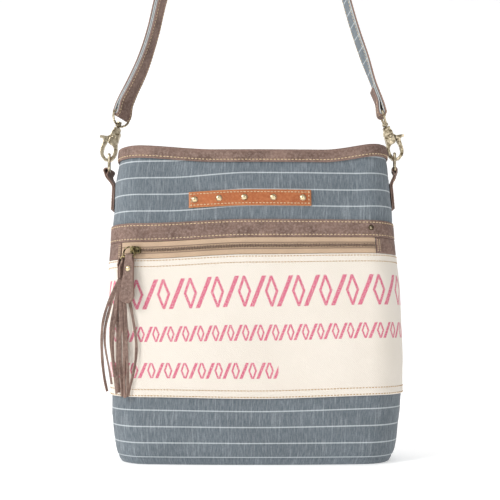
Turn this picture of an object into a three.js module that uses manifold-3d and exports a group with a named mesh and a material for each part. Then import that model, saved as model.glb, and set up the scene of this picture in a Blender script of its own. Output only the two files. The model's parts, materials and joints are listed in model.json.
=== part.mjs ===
import * as THREE from "three";
import { mergeVertices } from "three/addons/utils/BufferGeometryUtils.js";
import Module from "manifold-3d";

const wasm = await Module();
wasm.setup();

// A canvas and leather shoulder bag with its strap clipped on, hanging from the strap.
// Millimetres. X runs across the front, Y from front to back, Z up.
// The bag is drawn with its base at height 0 and lowered at the end, so that the strap's
// underside at its top is the origin.

// Driving sizes of the bag
const GAP = 0.3;
const BAG_HEIGHT = 316;
const HALF_WIDTH = 153;
const HALF_DEPTH = 46;
const FACE_CROWN = 4;
const CANVAS_WALL = 2;
const LEATHER = 1.4;
const PANEL_FROM_BASE = 0.20886 * BAG_HEIGHT;
const PANEL_HEIGHT = 0.45728 * BAG_HEIGHT;
const PANEL_THICK = 1.4;
const ZIP_OPENING = 17.5;
const BAND_WIDTH = 18;
const BINDING_WIDTH = 11.5;

// Patch, rivets and stud
const PATCH_WIDTH = 123.5;
const PATCH_HEIGHT = 16.4;
const PATCH_ABOVE_BAND = 13.8;
const PATCH_OFF_CENTRE = -5.5;
const PATCH_TILT = -0.1;
const PATCH_SEAT = 0.5;
const RIVET_SEAT = 0.6;
const RIVET_RADIUS = 3.2;
const RIVET_HEIGHT = 1.5;
const STUD_RADIUS = 2.9;
const STUD_SEAT = 0.1;
const STUD_FROM_SIDE = 37;
const STUD_ABOVE_BAND_EDGE = 9.8;

// Zip, its pull and its tassel
const TAPE_THICK = 1;
const TEETH_HEIGHT = 5;
const TEETH_THICK = 1.4;
const SLIDER_LENGTH = 10.5;
const SLIDER_HEIGHT = 8.4;
const SLIDER_THICK = 3.2;
const SLIDER_FROM_SIDE = 33.2;
const PULL_FROM_SIDE = 26.4;
const PULL_TURN = 25;
const PULL_WIRE = 0.75;
const PULL_BAR_HALF = 5.2;
const PULL_CORNER = 1.2;
const PULL_DROP = 9.8;
const PULL_STAND_OFF = 2;
const TAB_LENGTH = 47;
const TAB_NECK = 10.6;
const TAB_EYE_WIDTH = 8.4;
const TAB_END_RADIUS = 8.2;
const TAB_LEAN = 7;
const LINK_RADIUS = 3.2;
const LINK_WIRE = 0.6;
const TASSEL_HEAD = 18;
const TASSEL_HEAD_WIDTH = 7.2;
const TASSEL_EYE = 1.6;
const TASSEL_EYE_WIDTH = 4;
const TASSEL_KNOT = 6.2;
const TASSEL_LENGTH = 120;
const TASSEL_SPREAD = 17;
const TASSEL_STRIP = 3.5;
const TASSEL_STRIP_THICK = 1.4;
const TASSEL_ROOM = 1.2;
const SMALL_RIVET = 3.1;

// Side tabs, rings and clasps
const SIDE_TAB_WIDTH = 18.4;
const SIDE_TAB_LENGTH = 41;
const SIDE_RING_WIRE = 1.65;
const SIDE_RING_HALF_WIDTH = 12.5;
const SIDE_RING_HALF_HEIGHT = 8.45;
const SIDE_RING_CORNER = 3;
const CLASP_LENGTH = 50;
const CLASP_TILT = 17.5;
const CLASP_THICK = 6.2;
const LEVER_THICK = 4.4;
const HUB_THICK = 2.2;
const PIN_RADIUS = 1.5;
const EYE_WIRE = 1.3;

// Strap
const STRAP_WIDTH = 20;
const STRAP_LEATHER = 1.6;
const STRAP_CANVAS = 1.2;
const PLY_GAP = 0.5;
const STRAP_RISE = 321;
const STRAP_TOP_RADIUS = 45;
const STRAP_END_TAB = 26;
const STRAP_RETURN = 178;
const KEEPER_HEIGHT = 9;
const KEEPER_WALL = 2;

// The bag's outline from base to rim. up: share of BAG_HEIGHT. left, right: shares of
// HALF_WIDTH. deep: share of HALF_DEPTH. corner: corner radius as a share of the level's
// half depth. sink: how far the left end hangs below the middle, a share of BAG_HEIGHT.
// lift: the same for how far the right end stands above it.
const bodyTable = [
  { up: 0.0, left: 0.915, right: 0.912, deep: 0.93, corner: 0.8, sink: 0, lift: 0 },
  { up: 0.016, left: 0.935, right: 0.932, deep: 0.97, corner: 0.8, sink: 0, lift: 0 },
  { up: 0.038, left: 0.946, right: 0.95, deep: 0.985, corner: 0.8, sink: 0, lift: 0 },
  { up: 0.066, left: 0.956, right: 0.962, deep: 1.0, corner: 0.82, sink: -0.001, lift: 0.001 },
  { up: 0.111, left: 0.972, right: 0.972, deep: 1.0, corner: 0.84, sink: -0.002, lift: 0.005 },
  { up: 0.149, left: 0.984, right: 0.985, deep: 1.0, corner: 0.88, sink: -0.004, lift: 0.009 },
  { up: 0.212, left: 0.981, right: 0.999, deep: 0.99, corner: 0.9, sink: -0.005, lift: 0.012 },
  { up: 0.345, left: 0.987, right: 0.999, deep: 0.97, corner: 0.9, sink: 0.002, lift: 0.01 },
  { up: 0.475, left: 0.992, right: 0.988, deep: 0.95, corner: 0.9, sink: 0.008, lift: 0.008 },
  { up: 0.579, left: 0.994, right: 0.978, deep: 0.93, corner: 0.9, sink: 0.012, lift: 0.006 },
  { up: 0.668, left: 0.992, right: 0.955, deep: 0.905, corner: 0.9, sink: 0.014, lift: 0.005 },
  { up: 0.725, left: 0.983, right: 0.944, deep: 0.88, corner: 0.9, sink: 0.014, lift: 0.001 },
  { up: 0.782, left: 0.977, right: 0.937, deep: 0.86, corner: 0.9, sink: 0.011, lift: -0.001 },
  { up: 0.83, left: 0.97, right: 0.936, deep: 0.84, corner: 0.9, sink: 0.011, lift: -0.001 },
  { up: 0.88, left: 0.964, right: 0.928, deep: 0.81, corner: 0.9, sink: 0.012, lift: -0.001 },
  { up: 0.921, left: 0.96, right: 0.918, deep: 0.78, corner: 0.9, sink: 0.012, lift: -0.001 },
  { up: 0.962, left: 0.934, right: 0.902, deep: 0.75, corner: 0.9, sink: 0, lift: 0 },
  { up: 1.0, left: 0.93, right: 0.895, deep: 0.73, corner: 0.9, sink: 0, lift: 0 },
];

// The rim dips in the middle: how far each end stands above it, a share of BAG_HEIGHT, and
// the shares of the half width between which it climbs. Then the shares of the height
// between which this grows.
const rimRise = {
  left: { rise: 0.017, from: 0.25, full: 0.9 },
  right: { rise: 0.027, from: 0.5, full: 1.0 },
};
const RIM_RISE_FROM = 0.93;
const RIM_RISE_FULL = 0.962;

// Soft hollows and swells of the cloth. face: -1 front, 1 back. across: share of half width.
// up: share of BAG_HEIGHT. wide, tall: reach as shares of the same. deep: share of HALF_DEPTH.
const dents = [
  { face: -1, across: 0.12, up: 0.36, wide: 0.38, tall: 0.16, deep: 0.06 },
  { face: -1, across: -0.55, up: 0.85, wide: 0.28, tall: 0.06, deep: 0.07 },
  { face: -1, across: 0.62, up: 0.88, wide: 0.26, tall: 0.06, deep: 0.08 },
  { face: -1, across: -0.7, up: 0.13, wide: 0.24, tall: 0.07, deep: -0.04 },
  { face: -1, across: 0.66, up: 0.2, wide: 0.28, tall: 0.1, deep: -0.05 },
  { face: 1, across: -0.1, up: 0.62, wide: 0.42, tall: 0.2, deep: 0.12 },
  { face: 1, across: 0.4, up: 0.3, wide: 0.3, tall: 0.12, deep: -0.05 },
];

// Stations round the bag. The outline is counted from -1 to 9: the front is -1 to 1, the
// right side 2 to 3, the back 4 to 6 and the left side 7 to 8, with the corners between.
const FRONT_STEPS = 10;
const CORNER_STEPS = 4;
const TURN = 10;

// Colours and finishes
function finish(color, roughness, metalness = 0) {
  return new THREE.MeshStandardMaterial({ color, roughness, metalness });
}

const stripedCanvas = finish(0x7c8590, 0.95);
const creamCanvas = finish(0xf0e8dc, 0.95);
const brownLeather = finish(0x7a625c, 0.6);
const tanLeather = finish(0xc46a35, 0.55);
const zipTapeCloth = finish(0xbda081, 0.9);
const agedBrass = finish(0x8f8058, 0.4, 0.9);
const paleBrass = finish(0xdfcca0, 0.35, 0.9);

const radians = THREE.MathUtils.degToRad;
const smooth = (t) => THREE.MathUtils.smoothstep(t, 0, 1);

// A closed body through a row of rings of points. Each ring has the same number of points.
// Open rows are capped by pairing each ring point with the one opposite it in the list.
function loft(rings, closed = false) {
  const count = rings[0].length;
  const corners = [];
  const addTriangle = (a, b, c) => corners.push(a, b, c);
  const spans = closed ? rings.length : rings.length - 1;
  for (let i = 0; i < spans; i += 1) {
    const here = rings[i];
    const next = rings[(i + 1) % rings.length];
    for (let k = 0; k < count; k += 1) {
      const m = (k + 1) % count;
      addTriangle(here[k], next[k], next[m]);
      addTriangle(here[k], next[m], here[m]);
    }
  }
  if (!closed) {
    const first = rings[0];
    const last = rings[rings.length - 1];
    for (let k = 0; k < count / 2 - 1; k += 1) {
      const a = count - 1 - k;
      addTriangle(first[k], first[k + 1], first[a - 1]);
      addTriangle(first[k], first[a - 1], first[a]);
      addTriangle(last[k], last[a - 1], last[k + 1]);
      addTriangle(last[k], last[a], last[a - 1]);
    }
  }
  return bodyFromCorners(corners);
}

// Merges corners that lie together, drops triangles that have closed up and turns the faces
// outwards.
function bodyFromCorners(corners) {
  const positions = [];
  const index = [];
  const seen = new Map();
  const place = (p) => {
    const key = [p.x, p.y, p.z].map((v) => Math.round(v * 1e4)).join(",");
    if (!seen.has(key)) {
      seen.set(key, positions.length / 3);
      positions.push(p.x, p.y, p.z);
    }
    return seen.get(key);
  };
  for (let i = 0; i < corners.length; i += 3) {
    const [a, b, c] = [place(corners[i]), place(corners[i + 1]), place(corners[i + 2])];
    if (a !== b && b !== c && a !== c) index.push(a, b, c);
  }
  const geometry = new THREE.BufferGeometry();
  geometry.setAttribute("position", new THREE.Float32BufferAttribute(positions, 3));
  geometry.setIndex(index);
  return facingOut(geometry);
}

function facingOut(geometry) {
  const at = geometry.getAttribute("position");
  const index = Array.from(geometry.index.array);
  const corner = (i) => new THREE.Vector3().fromBufferAttribute(at, index[i]);
  let volume = 0;
  for (let i = 0; i < index.length; i += 3) {
    volume += corner(i).dot(corner(i + 1).cross(corner(i + 2)));
  }
  if (volume < 0) {
    for (let i = 0; i < index.length; i += 3) {
      const kept = index[i + 1];
      index[i + 1] = index[i + 2];
      index[i + 2] = kept;
    }
    geometry.setIndex(index);
  }
  return geometry;
}

// Solids that are joined or cut
function toSolid(geometry) {
  const bare = geometry.clone();
  bare.deleteAttribute("normal");
  bare.deleteAttribute("uv");
  const merged = mergeVertices(bare, 1e-4);
  return new wasm.Manifold(
    new wasm.Mesh({
      numProp: 3,
      vertProperties: new Float32Array(merged.getAttribute("position").array),
      triVerts: new Uint32Array(merged.index.array),
    }),
  );
}

function toGeometry(solid) {
  const mesh = solid.getMesh();
  const geometry = new THREE.BufferGeometry();
  geometry.setAttribute("position", new THREE.BufferAttribute(mesh.vertProperties, 3));
  geometry.setIndex(new THREE.BufferAttribute(mesh.triVerts, 1));
  return geometry;
}

const joined = (first, ...others) => others.reduce((sum, one) => sum.add(one), first);

// A flat outline in X and Z made a plate between two depths in Y
function plate(shape, thick, curveSteps = 4) {
  const geometry = new THREE.ExtrudeGeometry(shape, {
    depth: thick,
    bevelEnabled: false,
    curveSegments: curveSteps,
  });
  geometry.rotateX(Math.PI / 2);
  geometry.translate(0, thick / 2, 0);
  return geometry;
}

// Wire along a path that lies in one plane, whose normal is given
function wire(points, planeNormal, radius, sides, closed) {
  const rings = points.map((p, i) => {
    const before = points[closed ? (i + points.length - 1) % points.length : Math.max(i - 1, 0)];
    const after = points[closed ? (i + 1) % points.length : Math.min(i + 1, points.length - 1)];
    const along = after.clone().sub(before).normalize();
    const across = new THREE.Vector3().crossVectors(along, planeNormal).normalize();
    const ring = [];
    for (let k = 0; k < sides; k += 1) {
      const angle = ((k + 0.5) / sides) * 2 * Math.PI;
      ring.push(
        p
          .clone()
          .addScaledVector(across, radius * Math.cos(angle))
          .addScaledVector(planeNormal, radius * Math.sin(angle)),
      );
    }
    return ring;
  });
  return loft(rings, closed);
}

// A rounded rectangle as a list of points in a plane given by two directions
function roundedLoop(halfA, halfB, corner, steps, dirA, dirB, centre) {
  const points = [];
  const quarters = [
    [1, 1, 0],
    [-1, 1, 90],
    [-1, -1, 180],
    [1, -1, 270],
  ];
  for (const [signA, signB, start] of quarters) {
    for (let k = 0; k <= steps; k += 1) {
      const angle = radians(start + (90 * k) / steps);
      const a = signA * (halfA - corner) + corner * Math.cos(angle);
      const b = signB * (halfB - corner) + corner * Math.sin(angle);
      points.push(centre.clone().addScaledVector(dirA, a).addScaledVector(dirB, b));
    }
  }
  return points;
}

// A low round head on a skin point, standing out along the skin's normal
function domeAt(seat, normal, radius, height, sides) {
  const profile = [
    new THREE.Vector2(0, 0),
    new THREE.Vector2(radius, 0),
    new THREE.Vector2(radius * 0.88, height * 0.55),
    new THREE.Vector2(radius * 0.45, height * 0.95),
    new THREE.Vector2(0, height),
  ];
  const geometry = new THREE.LatheGeometry(profile, sides);
  const turn = new THREE.Quaternion().setFromUnitVectors(new THREE.Vector3(0, 1, 0), normal);
  geometry.applyQuaternion(turn);
  geometry.translate(seat.x, seat.y, seat.z);
  return geometry;
}

// The bag's skin
function bodyRow(level) {
  const up = THREE.MathUtils.clamp(level / BAG_HEIGHT, 0, 1);
  let k = 0;
  while (k < bodyTable.length - 2 && bodyTable[k + 1].up < up) k += 1;
  const [low, high] = [bodyTable[k], bodyTable[k + 1]];
  const t = (up - low.up) / (high.up - low.up);
  const row = {};
  for (const name of Object.keys(low)) row[name] = THREE.MathUtils.lerp(low[name], high[name], t);
  return row;
}

function levelSizes(level) {
  const row = bodyRow(level);
  const left = row.left * HALF_WIDTH;
  const right = row.right * HALF_WIDTH;
  const halfDepth = row.deep * HALF_DEPTH;
  const corner = row.corner * halfDepth;
  const halfWidth = (left + right) / 2;
  return {
    row,
    corner,
    halfWidth,
    halfDepth,
    centre: (right - left) / 2,
    flatX: halfWidth - corner,
    flatY: halfDepth - corner,
  };
}

// Where the outline is at one station of one level, and which way it faces
function outline(around, size) {
  const a = around < -1 ? around + TURN : around;
  const quarter = (from) => ((a - from) * Math.PI) / 2;
  const { centre, corner, flatX, flatY, halfWidth, halfDepth } = size;
  if (a <= 1) {
    return [centre + a * flatX, -halfDepth - FACE_CROWN * (1 - a * a), 0, -1];
  }
  if (a <= 2) {
    const [s, c] = [Math.sin(quarter(1)), Math.cos(quarter(1))];
    return [centre + flatX + corner * s, -flatY - corner * c, s, -c];
  }
  if (a <= 3) return [centre + halfWidth, flatY * (2 * (a - 2) - 1), 1, 0];
  if (a <= 4) {
    const [s, c] = [Math.sin(quarter(3)), Math.cos(quarter(3))];
    return [centre + flatX + corner * c, flatY + corner * s, c, s];
  }
  if (a <= 6) {
    const b = 5 - a;
    return [centre + b * flatX, halfDepth + FACE_CROWN * (1 - b * b), 0, 1];
  }
  if (a <= 7) {
    const [s, c] = [Math.sin(quarter(6)), Math.cos(quarter(6))];
    return [centre - flatX - corner * s, flatY + corner * c, -s, c];
  }
  if (a <= 8) return [centre - halfWidth, flatY * (1 - 2 * (a - 7)), -1, 0];
  const [s, c] = [Math.sin(quarter(8)), Math.cos(quarter(8))];
  return [centre - flatX - corner * c, -flatY - corner * s, -c, -s];
}

function dentDepth(share, up, facing) {
  let depth = 0;
  for (const dent of dents) {
    const side = Math.max(0, dent.face * facing);
    const a = (share - dent.across) / dent.wide;
    const b = (up - dent.up) / dent.tall;
    depth += side * dent.deep * HALF_DEPTH * Math.exp(-a * a - b * b);
  }
  return depth;
}

// The point of the skin at a station and level, moved out from it
function skin(around, level, out = 0) {
  const size = levelSizes(level);
  const [x, y, nx, ny] = outline(around, size);
  const share = (x - size.centre) / size.halfWidth;
  const up = level / BAG_HEIGHT;
  const move = out - dentDepth(share, up, ny);
  const rise = smooth((up - RIM_RISE_FROM) / (RIM_RISE_FULL - RIM_RISE_FROM));
  const rim = share < 0 ? rimRise.left : rimRise.right;
  const climb = rim.rise * smooth((Math.abs(share) - rim.from) / (rim.full - rim.from));
  const sink = size.row.sink * smooth(-share / 0.75);
  const lift = size.row.lift * smooth(share / 0.9);
  const z = level + BAG_HEIGHT * (climb * rise - sink + lift);
  return new THREE.Vector3(x + nx * move, y + ny * move, z);
}

// Which station of the front and its corners lies at a distance across
function aroundAt(x, level) {
  const { centre, flatX, corner } = levelSizes(level);
  const across = x - centre;
  if (Math.abs(across) <= flatX) return across / flatX;
  const into = Math.min((Math.abs(across) - flatX) / corner, 1);
  return Math.sign(across) * (1 + Math.asin(into) / (Math.PI / 2));
}

function skinNormal(around, level) {
  const [, , nx, ny] = outline(around, levelSizes(level));
  return new THREE.Vector3(nx, ny, 0);
}

// The level whose skin lies at a height, at one station
function levelAtHeight(around, height) {
  let low = 0;
  let high = BAG_HEIGHT;
  for (let i = 0; i < 30; i += 1) {
    const middle = (low + high) / 2;
    if (skin(around, middle).z < height) low = middle;
    else high = middle;
  }
  return (low + high) / 2;
}

// Heights of the seams, from the base up
const panelBottom = PANEL_FROM_BASE;
const panelTop = panelBottom + PANEL_HEIGHT;
const bandBottom = panelTop + ZIP_OPENING;
const bandTop = bandBottom + BAND_WIDTH;
const bindingEdge = BAG_HEIGHT - BINDING_WIDTH;
const zipLevel = (panelTop + bandBottom) / 2;

const seams = [panelBottom, panelTop, bandBottom, bandTop, bindingEdge];
const SEAM_REACH = 2.5;
const tableLevels = bodyTable.map((row) => row.up * BAG_HEIGHT);
const levels = tableLevels
  .filter((level) => level === BAG_HEIGHT || seams.every((s) => Math.abs(s - level) > SEAM_REACH))
  .concat(seams)
  .sort((a, b) => a - b);

const levelsBetween = (low, high) => [
  low,
  ...levels.filter((level) => level > low && level < high),
  high,
];

const stations = [];
for (let k = 0; k < FRONT_STEPS; k += 1) stations.push(-1 + (2 * k) / FRONT_STEPS);
for (let k = 0; k < CORNER_STEPS; k += 1) stations.push(1 + k / CORNER_STEPS);
stations.push(2);
for (let k = 0; k < CORNER_STEPS; k += 1) stations.push(3 + k / CORNER_STEPS);
for (let k = 0; k < FRONT_STEPS; k += 1) stations.push(4 + (2 * k) / FRONT_STEPS);
for (let k = 0; k < CORNER_STEPS; k += 1) stations.push(6 + k / CORNER_STEPS);
stations.push(7);
for (let k = 0; k < CORNER_STEPS; k += 1) stations.push(8 + k / CORNER_STEPS);

// The hollow canvas bag: a wall from the middle of the base up to the rim and down inside
function canvasBody() {
  const innerLevels = levels.filter((level) => level > 2 * CANVAS_WALL);
  const rings = stations.map((around) => {
    const outer = levels.map((level) => skin(around, level));
    const inner = innerLevels.map((level) => skin(around, level, -CANVAS_WALL)).reverse();
    const floor = skin(around, innerLevels[0], -2 * CANVAS_WALL).setZ(CANVAS_WALL);
    return [
      new THREE.Vector3(0, 0, 0),
      ...outer,
      ...inner,
      floor,
      new THREE.Vector3(0, 0, CANVAS_WALL),
    ];
  });
  return loft(rings, true);
}

// A band of cloth or leather that lies on the skin all the way round
function wrap(low, high, inside, thick) {
  const rows = levelsBetween(low, high);
  const rings = stations.map((around) => [
    ...rows.map((level) => skin(around, level, inside)),
    ...rows.map((level) => skin(around, level, inside + thick)).reverse(),
  ]);
  return loft(rings, true);
}

// A piece that lies on part of the skin, given by the stations of its columns
function overlay(columns, rows, inside, thick, tilt = () => 0) {
  const rings = columns.map((around) => {
    const at = (level, out) => skin(around, level + tilt(around), out);
    return [
      ...rows.map((level) => at(level, inside)),
      ...rows.map((level) => at(level, inside + thick)).reverse(),
    ];
  });
  return loft(rings);
}

const columnsBetween = (from, to, steps) =>
  Array.from({ length: steps + 1 }, (_, k) => from + ((to - from) * k) / steps);

// Leather folded over the rim
function rimBinding() {
  const rings = stations.map((around) => {
    const at = (level, out, above) => skin(around, level, out).add(new THREE.Vector3(0, 0, above));
    const out = GAP + LEATHER;
    const inside = -CANVAS_WALL - GAP;
    return [
      at(bindingEdge, GAP, 0),
      at(BAG_HEIGHT, GAP, GAP),
      at(BAG_HEIGHT, inside, GAP),
      at(bindingEdge, inside, 0),
      at(bindingEdge, inside - LEATHER, 0),
      at(BAG_HEIGHT, inside - LEATHER, 0),
      at(BAG_HEIGHT, inside, GAP + LEATHER),
      at(BAG_HEIGHT, GAP, GAP + LEATHER),
      at(BAG_HEIGHT, out, 0),
      at(bindingEdge, out, 0),
    ];
  });
  return loft(rings, true);
}

// The patch and its five rivets. across: share of the patch's half width.
const patchLevel = bandTop + PATCH_ABOVE_BAND + PATCH_HEIGHT / 2;
const patchRivets = [-0.902, -0.504, -0.092, 0.379, 0.86];
const patchSlope = Math.tan(radians(PATCH_TILT));

function frontPatch() {
  const from = aroundAt(PATCH_OFF_CENTRE - PATCH_WIDTH / 2, patchLevel);
  const to = aroundAt(PATCH_OFF_CENTRE + PATCH_WIDTH / 2, patchLevel);
  const middle = (from + to) / 2;
  const slope = (around) => (around - middle) * levelSizes(patchLevel).flatX * patchSlope;
  const low = patchLevel - PATCH_HEIGHT / 2;
  const rows = columnsBetween(low, low + PATCH_HEIGHT, 3);
  return overlay(columnsBetween(from, to, 10), rows, PATCH_SEAT, LEATHER, slope);
}

function rivetOn(x, level, out, radius, height) {
  const around = aroundAt(x, level);
  return domeAt(skin(around, level, out), skinNormal(around, level), radius, height, 10);
}

// The zip: tape in its opening, teeth, and a folded leather tab over each end.
// inner and outer are stations of the front's corners.
const zipEnds = [
  { name: "zip_end_left", inner: -1.38, outer: -1.85 },
  { name: "zip_end_right", inner: 1.22, outer: 1.85 },
];
const END_STEPS = 6;
const tapeOut = GAP + TAPE_THICK;
const sliderAcross = SLIDER_FROM_SIDE - HALF_WIDTH;
const pullAcross = PULL_FROM_SIDE - HALF_WIDTH;

function zipTape() {
  const columns = columnsBetween(zipEnds[0].inner, zipEnds[1].inner, 28);
  return overlay(columns, [panelTop + GAP, bandBottom - GAP], GAP, TAPE_THICK);
}

function zipTeeth() {
  const start = aroundAt(sliderAcross + SLIDER_LENGTH / 2 + GAP, zipLevel);
  const columns = columnsBetween(start, zipEnds[1].inner - 0.01, 24);
  const low = zipLevel - TEETH_HEIGHT / 2;
  return overlay(columns, [low, low + TEETH_HEIGHT], tapeOut + GAP, TEETH_THICK);
}

function zipEnd({ inner, outer }) {
  const towards = Math.sign(outer) * 0.012;
  const columns = columnsBetween(inner + towards, outer, END_STEPS);
  return overlay(columns, [panelTop + GAP, bandBottom - GAP], GAP, LEATHER);
}

// The slider's ring is a D turned a little about the upright. turnedAlong runs along its bar
// and turnedOut faces away from the bag.
const turnedAlong = new THREE.Vector3(
  Math.cos(radians(PULL_TURN)),
  -Math.sin(radians(PULL_TURN)),
  0,
);
const turnedOut = new THREE.Vector3(
  -Math.sin(radians(PULL_TURN)),
  -Math.cos(radians(PULL_TURN)),
  0,
);
const upward = new THREE.Vector3(0, 0, 1);
const LINK_ANGLE = 50;

const pullTopRadius = PULL_BAR_HALF + PULL_CORNER;
const sliderAround = aroundAt(sliderAcross, zipLevel);
const sliderSeat = skin(sliderAround, zipLevel, tapeOut + GAP);
const linkUp = PULL_DROP - pullTopRadius + pullTopRadius * Math.cos(radians(LINK_ANGLE));
const linkAlong = pullTopRadius * Math.sin(radians(LINK_ANGLE));
const linkX = pullAcross + linkAlong * turnedAlong.x;
const linkFace = skin(aroundAt(linkX, zipLevel), zipLevel, tapeOut + GAP + SLIDER_THICK).y;
const linkPoint = new THREE.Vector3(
  linkX,
  linkFace - PULL_WIRE - PULL_STAND_OFF,
  sliderSeat.z + 0.6,
);
const barCentre = linkPoint
  .clone()
  .addScaledVector(turnedAlong, -linkAlong)
  .addScaledVector(upward, -linkUp);

const onPull = (along, up) =>
  barCentre.clone().addScaledVector(turnedAlong, along).addScaledVector(upward, up);

function pullRing() {
  const points = [];
  for (const side of [-1, 1]) {
    const corner = [];
    for (let k = 0; k <= 3; k += 1) {
      const angle = radians(90 * (k / 3));
      const along = PULL_BAR_HALF + PULL_CORNER * Math.sin(angle);
      corner.push(onPull(side * along, PULL_CORNER * (1 - Math.cos(angle))));
    }
    if (side < 0) corner.reverse();
    points.push(...corner);
  }
  const steps = 9;
  for (let k = 0; k <= steps; k += 1) {
    const angle = radians(90 - (180 * k) / steps);
    const up = PULL_DROP - pullTopRadius * (1 - Math.cos(angle));
    points.push(onPull(pullTopRadius * Math.sin(angle), up));
  }
  return wire(points, turnedOut, PULL_WIRE, 6, true);
}

// The slider: a block with chamfered ends and a staple that holds the ring
function zipSlider() {
  const shape = new THREE.Shape();
  const [half, tall, cut] = [SLIDER_LENGTH / 2, SLIDER_HEIGHT / 2, SLIDER_HEIGHT / 4];
  shape.moveTo(-half, -tall + cut);
  shape.lineTo(-half + cut, -tall);
  shape.lineTo(half, -tall + cut / 2);
  shape.lineTo(half, tall - cut / 2);
  shape.lineTo(-half + cut, tall);
  shape.lineTo(-half, tall - cut);
  shape.closePath();
  const block = plate(shape, SLIDER_THICK);
  const face = skinNormal(sliderAround, zipLevel);
  block.rotateZ(Math.atan2(face.x, -face.y));
  const middle = skin(sliderAround, zipLevel, tapeOut + GAP + SLIDER_THICK / 2);
  block.translate(middle.x, middle.y - GAP, middle.z);

  const angle = radians(LINK_ANGLE);
  const legs = turnedAlong
    .clone()
    .multiplyScalar(Math.sin(angle))
    .addScaledVector(upward, Math.cos(angle));
  const side = new THREE.Vector3().crossVectors(legs, turnedOut).normalize();
  const reach = PULL_WIRE + LINK_WIRE + 1.5 * GAP;
  const sunk = PULL_WIRE + PULL_STAND_OFF + SLIDER_THICK / 2;
  const staple = [linkPoint.clone().addScaledVector(legs, -reach).addScaledVector(turnedOut, -sunk)];
  for (let k = 0; k <= 6; k += 1) {
    const t = radians(-90 + (180 * k) / 6);
    staple.push(
      linkPoint
        .clone()
        .addScaledVector(legs, reach * Math.sin(t))
        .addScaledVector(turnedOut, reach * Math.cos(t)),
    );
  }
  staple.push(linkPoint.clone().addScaledVector(legs, reach).addScaledVector(turnedOut, -sunk));
  const loop = wire(staple, side, LINK_WIRE, 6, false);
  return toGeometry(joined(toSolid(block), toSolid(loop)));
}

// A strip of leather folded over a wire: a closed outline in two directions, with an eye
// round the wire and two plies below it that lie a gap apart.
function foldedStrip(eye, tall, ply, length) {
  const shape = new THREE.Shape();
  const outer = eye + ply;
  const inside = GAP / 2;
  const neck = 2.4 * outer;
  shape.moveTo(inside, -length);
  shape.lineTo(inside + ply, -length);
  shape.lineTo(inside + ply, -neck);
  shape.quadraticCurveTo(outer, -0.5 * neck, outer, 0);
  shape.lineTo(outer, tall);
  shape.absarc(0, tall, outer, 0, Math.PI, false);
  shape.lineTo(-outer, 0);
  shape.quadraticCurveTo(-outer, -0.5 * neck, -inside - ply, -neck);
  shape.lineTo(-inside - ply, -length);
  shape.lineTo(-inside, -length);
  shape.lineTo(-inside, -neck);
  shape.quadraticCurveTo(-eye, -0.5 * neck, -eye, 0);
  shape.lineTo(-eye, tall);
  shape.absarc(0, tall, eye, Math.PI, 0, true);
  shape.lineTo(eye, 0);
  shape.quadraticCurveTo(eye, -0.5 * neck, inside, -neck);
  shape.closePath();
  return shape;
}

// The leather pull: a strip folded over the ring's bar, narrow at the eye and round at its end
const tabShift = (PULL_BAR_HALF - TAB_EYE_WIDTH / 2) * 0.85;
const tabTurn = new THREE.Matrix4().makeBasis(
  turnedAlong,
  turnedOut.clone().negate(),
  upward,
);

function pullTabPlace(geometry) {
  geometry.translate(tabShift, 0, 0);
  geometry.rotateX(radians(-TAB_LEAN));
  geometry.applyMatrix4(tabTurn);
  geometry.translate(barCentre.x, barCentre.y, barCentre.z);
  return geometry;
}

function pullTab() {
  const eye = PULL_WIRE + GAP;
  const strip = new THREE.ExtrudeGeometry(foldedStrip(eye, 0.2, LEATHER, TAB_LENGTH), {
    depth: 4 * TAB_END_RADIUS,
    bevelEnabled: false,
    curveSegments: 5,
  });
  strip.translate(0, 0, -2 * TAB_END_RADIUS);
  strip.rotateY(Math.PI / 2);
  strip.rotateX(Math.PI / 2);
  const half = TAB_EYE_WIDTH / 2;
  const end = -TAB_LENGTH + TAB_END_RADIUS;
  const face = new THREE.Shape();
  face.moveTo(-half, 5);
  face.lineTo(-half, -3.4);
  face.lineTo(-TAB_NECK / 2, -6.5);
  face.quadraticCurveTo(-TAB_NECK / 2, 0.6 * end, -TAB_END_RADIUS, end);
  face.absarc(0, end, TAB_END_RADIUS, Math.PI, 0, false);
  face.quadraticCurveTo(TAB_NECK / 2, 0.6 * end, TAB_NECK / 2, -6.5);
  face.lineTo(half, -3.4);
  face.lineTo(half, 5);
  face.closePath();
  const cutter = plate(face, 12, 8);
  return pullTabPlace(toGeometry(toSolid(strip).intersect(toSolid(cutter))));
}

const PULL_RIVET_DROP = 12.2;

function pullRivet() {
  const seat = new THREE.Vector3(0, -GAP / 2 - LEATHER - GAP, -PULL_RIVET_DROP);
  const out = new THREE.Vector3(0, -1, 0);
  return pullTabPlace(domeAt(seat, out, SMALL_RIVET, RIVET_HEIGHT, 10));
}

// The small ring that joins the tassel to the D ring's lower left corner
const cornerOut = turnedAlong.clone().negate().sub(upward).normalize();
const cornerWire = onPull(-PULL_BAR_HALF, PULL_CORNER).addScaledVector(cornerOut, PULL_CORNER);
const tasselRingCentre = cornerWire
  .clone()
  .addScaledVector(cornerOut, LINK_RADIUS - LINK_WIRE - PULL_WIRE - GAP);

function tasselRing() {
  const steps = 14;
  const points = Array.from({ length: steps }, (_, k) => {
    const angle = (2 * Math.PI * k) / steps;
    return tasselRingCentre
      .clone()
      .addScaledVector(cornerOut, LINK_RADIUS * Math.cos(angle))
      .addScaledVector(turnedOut, LINK_RADIUS * Math.sin(angle));
  });
  const normal = new THREE.Vector3().crossVectors(cornerOut, turnedOut).normalize();
  return wire(points, normal, LINK_WIRE, 6, true);
}

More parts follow.
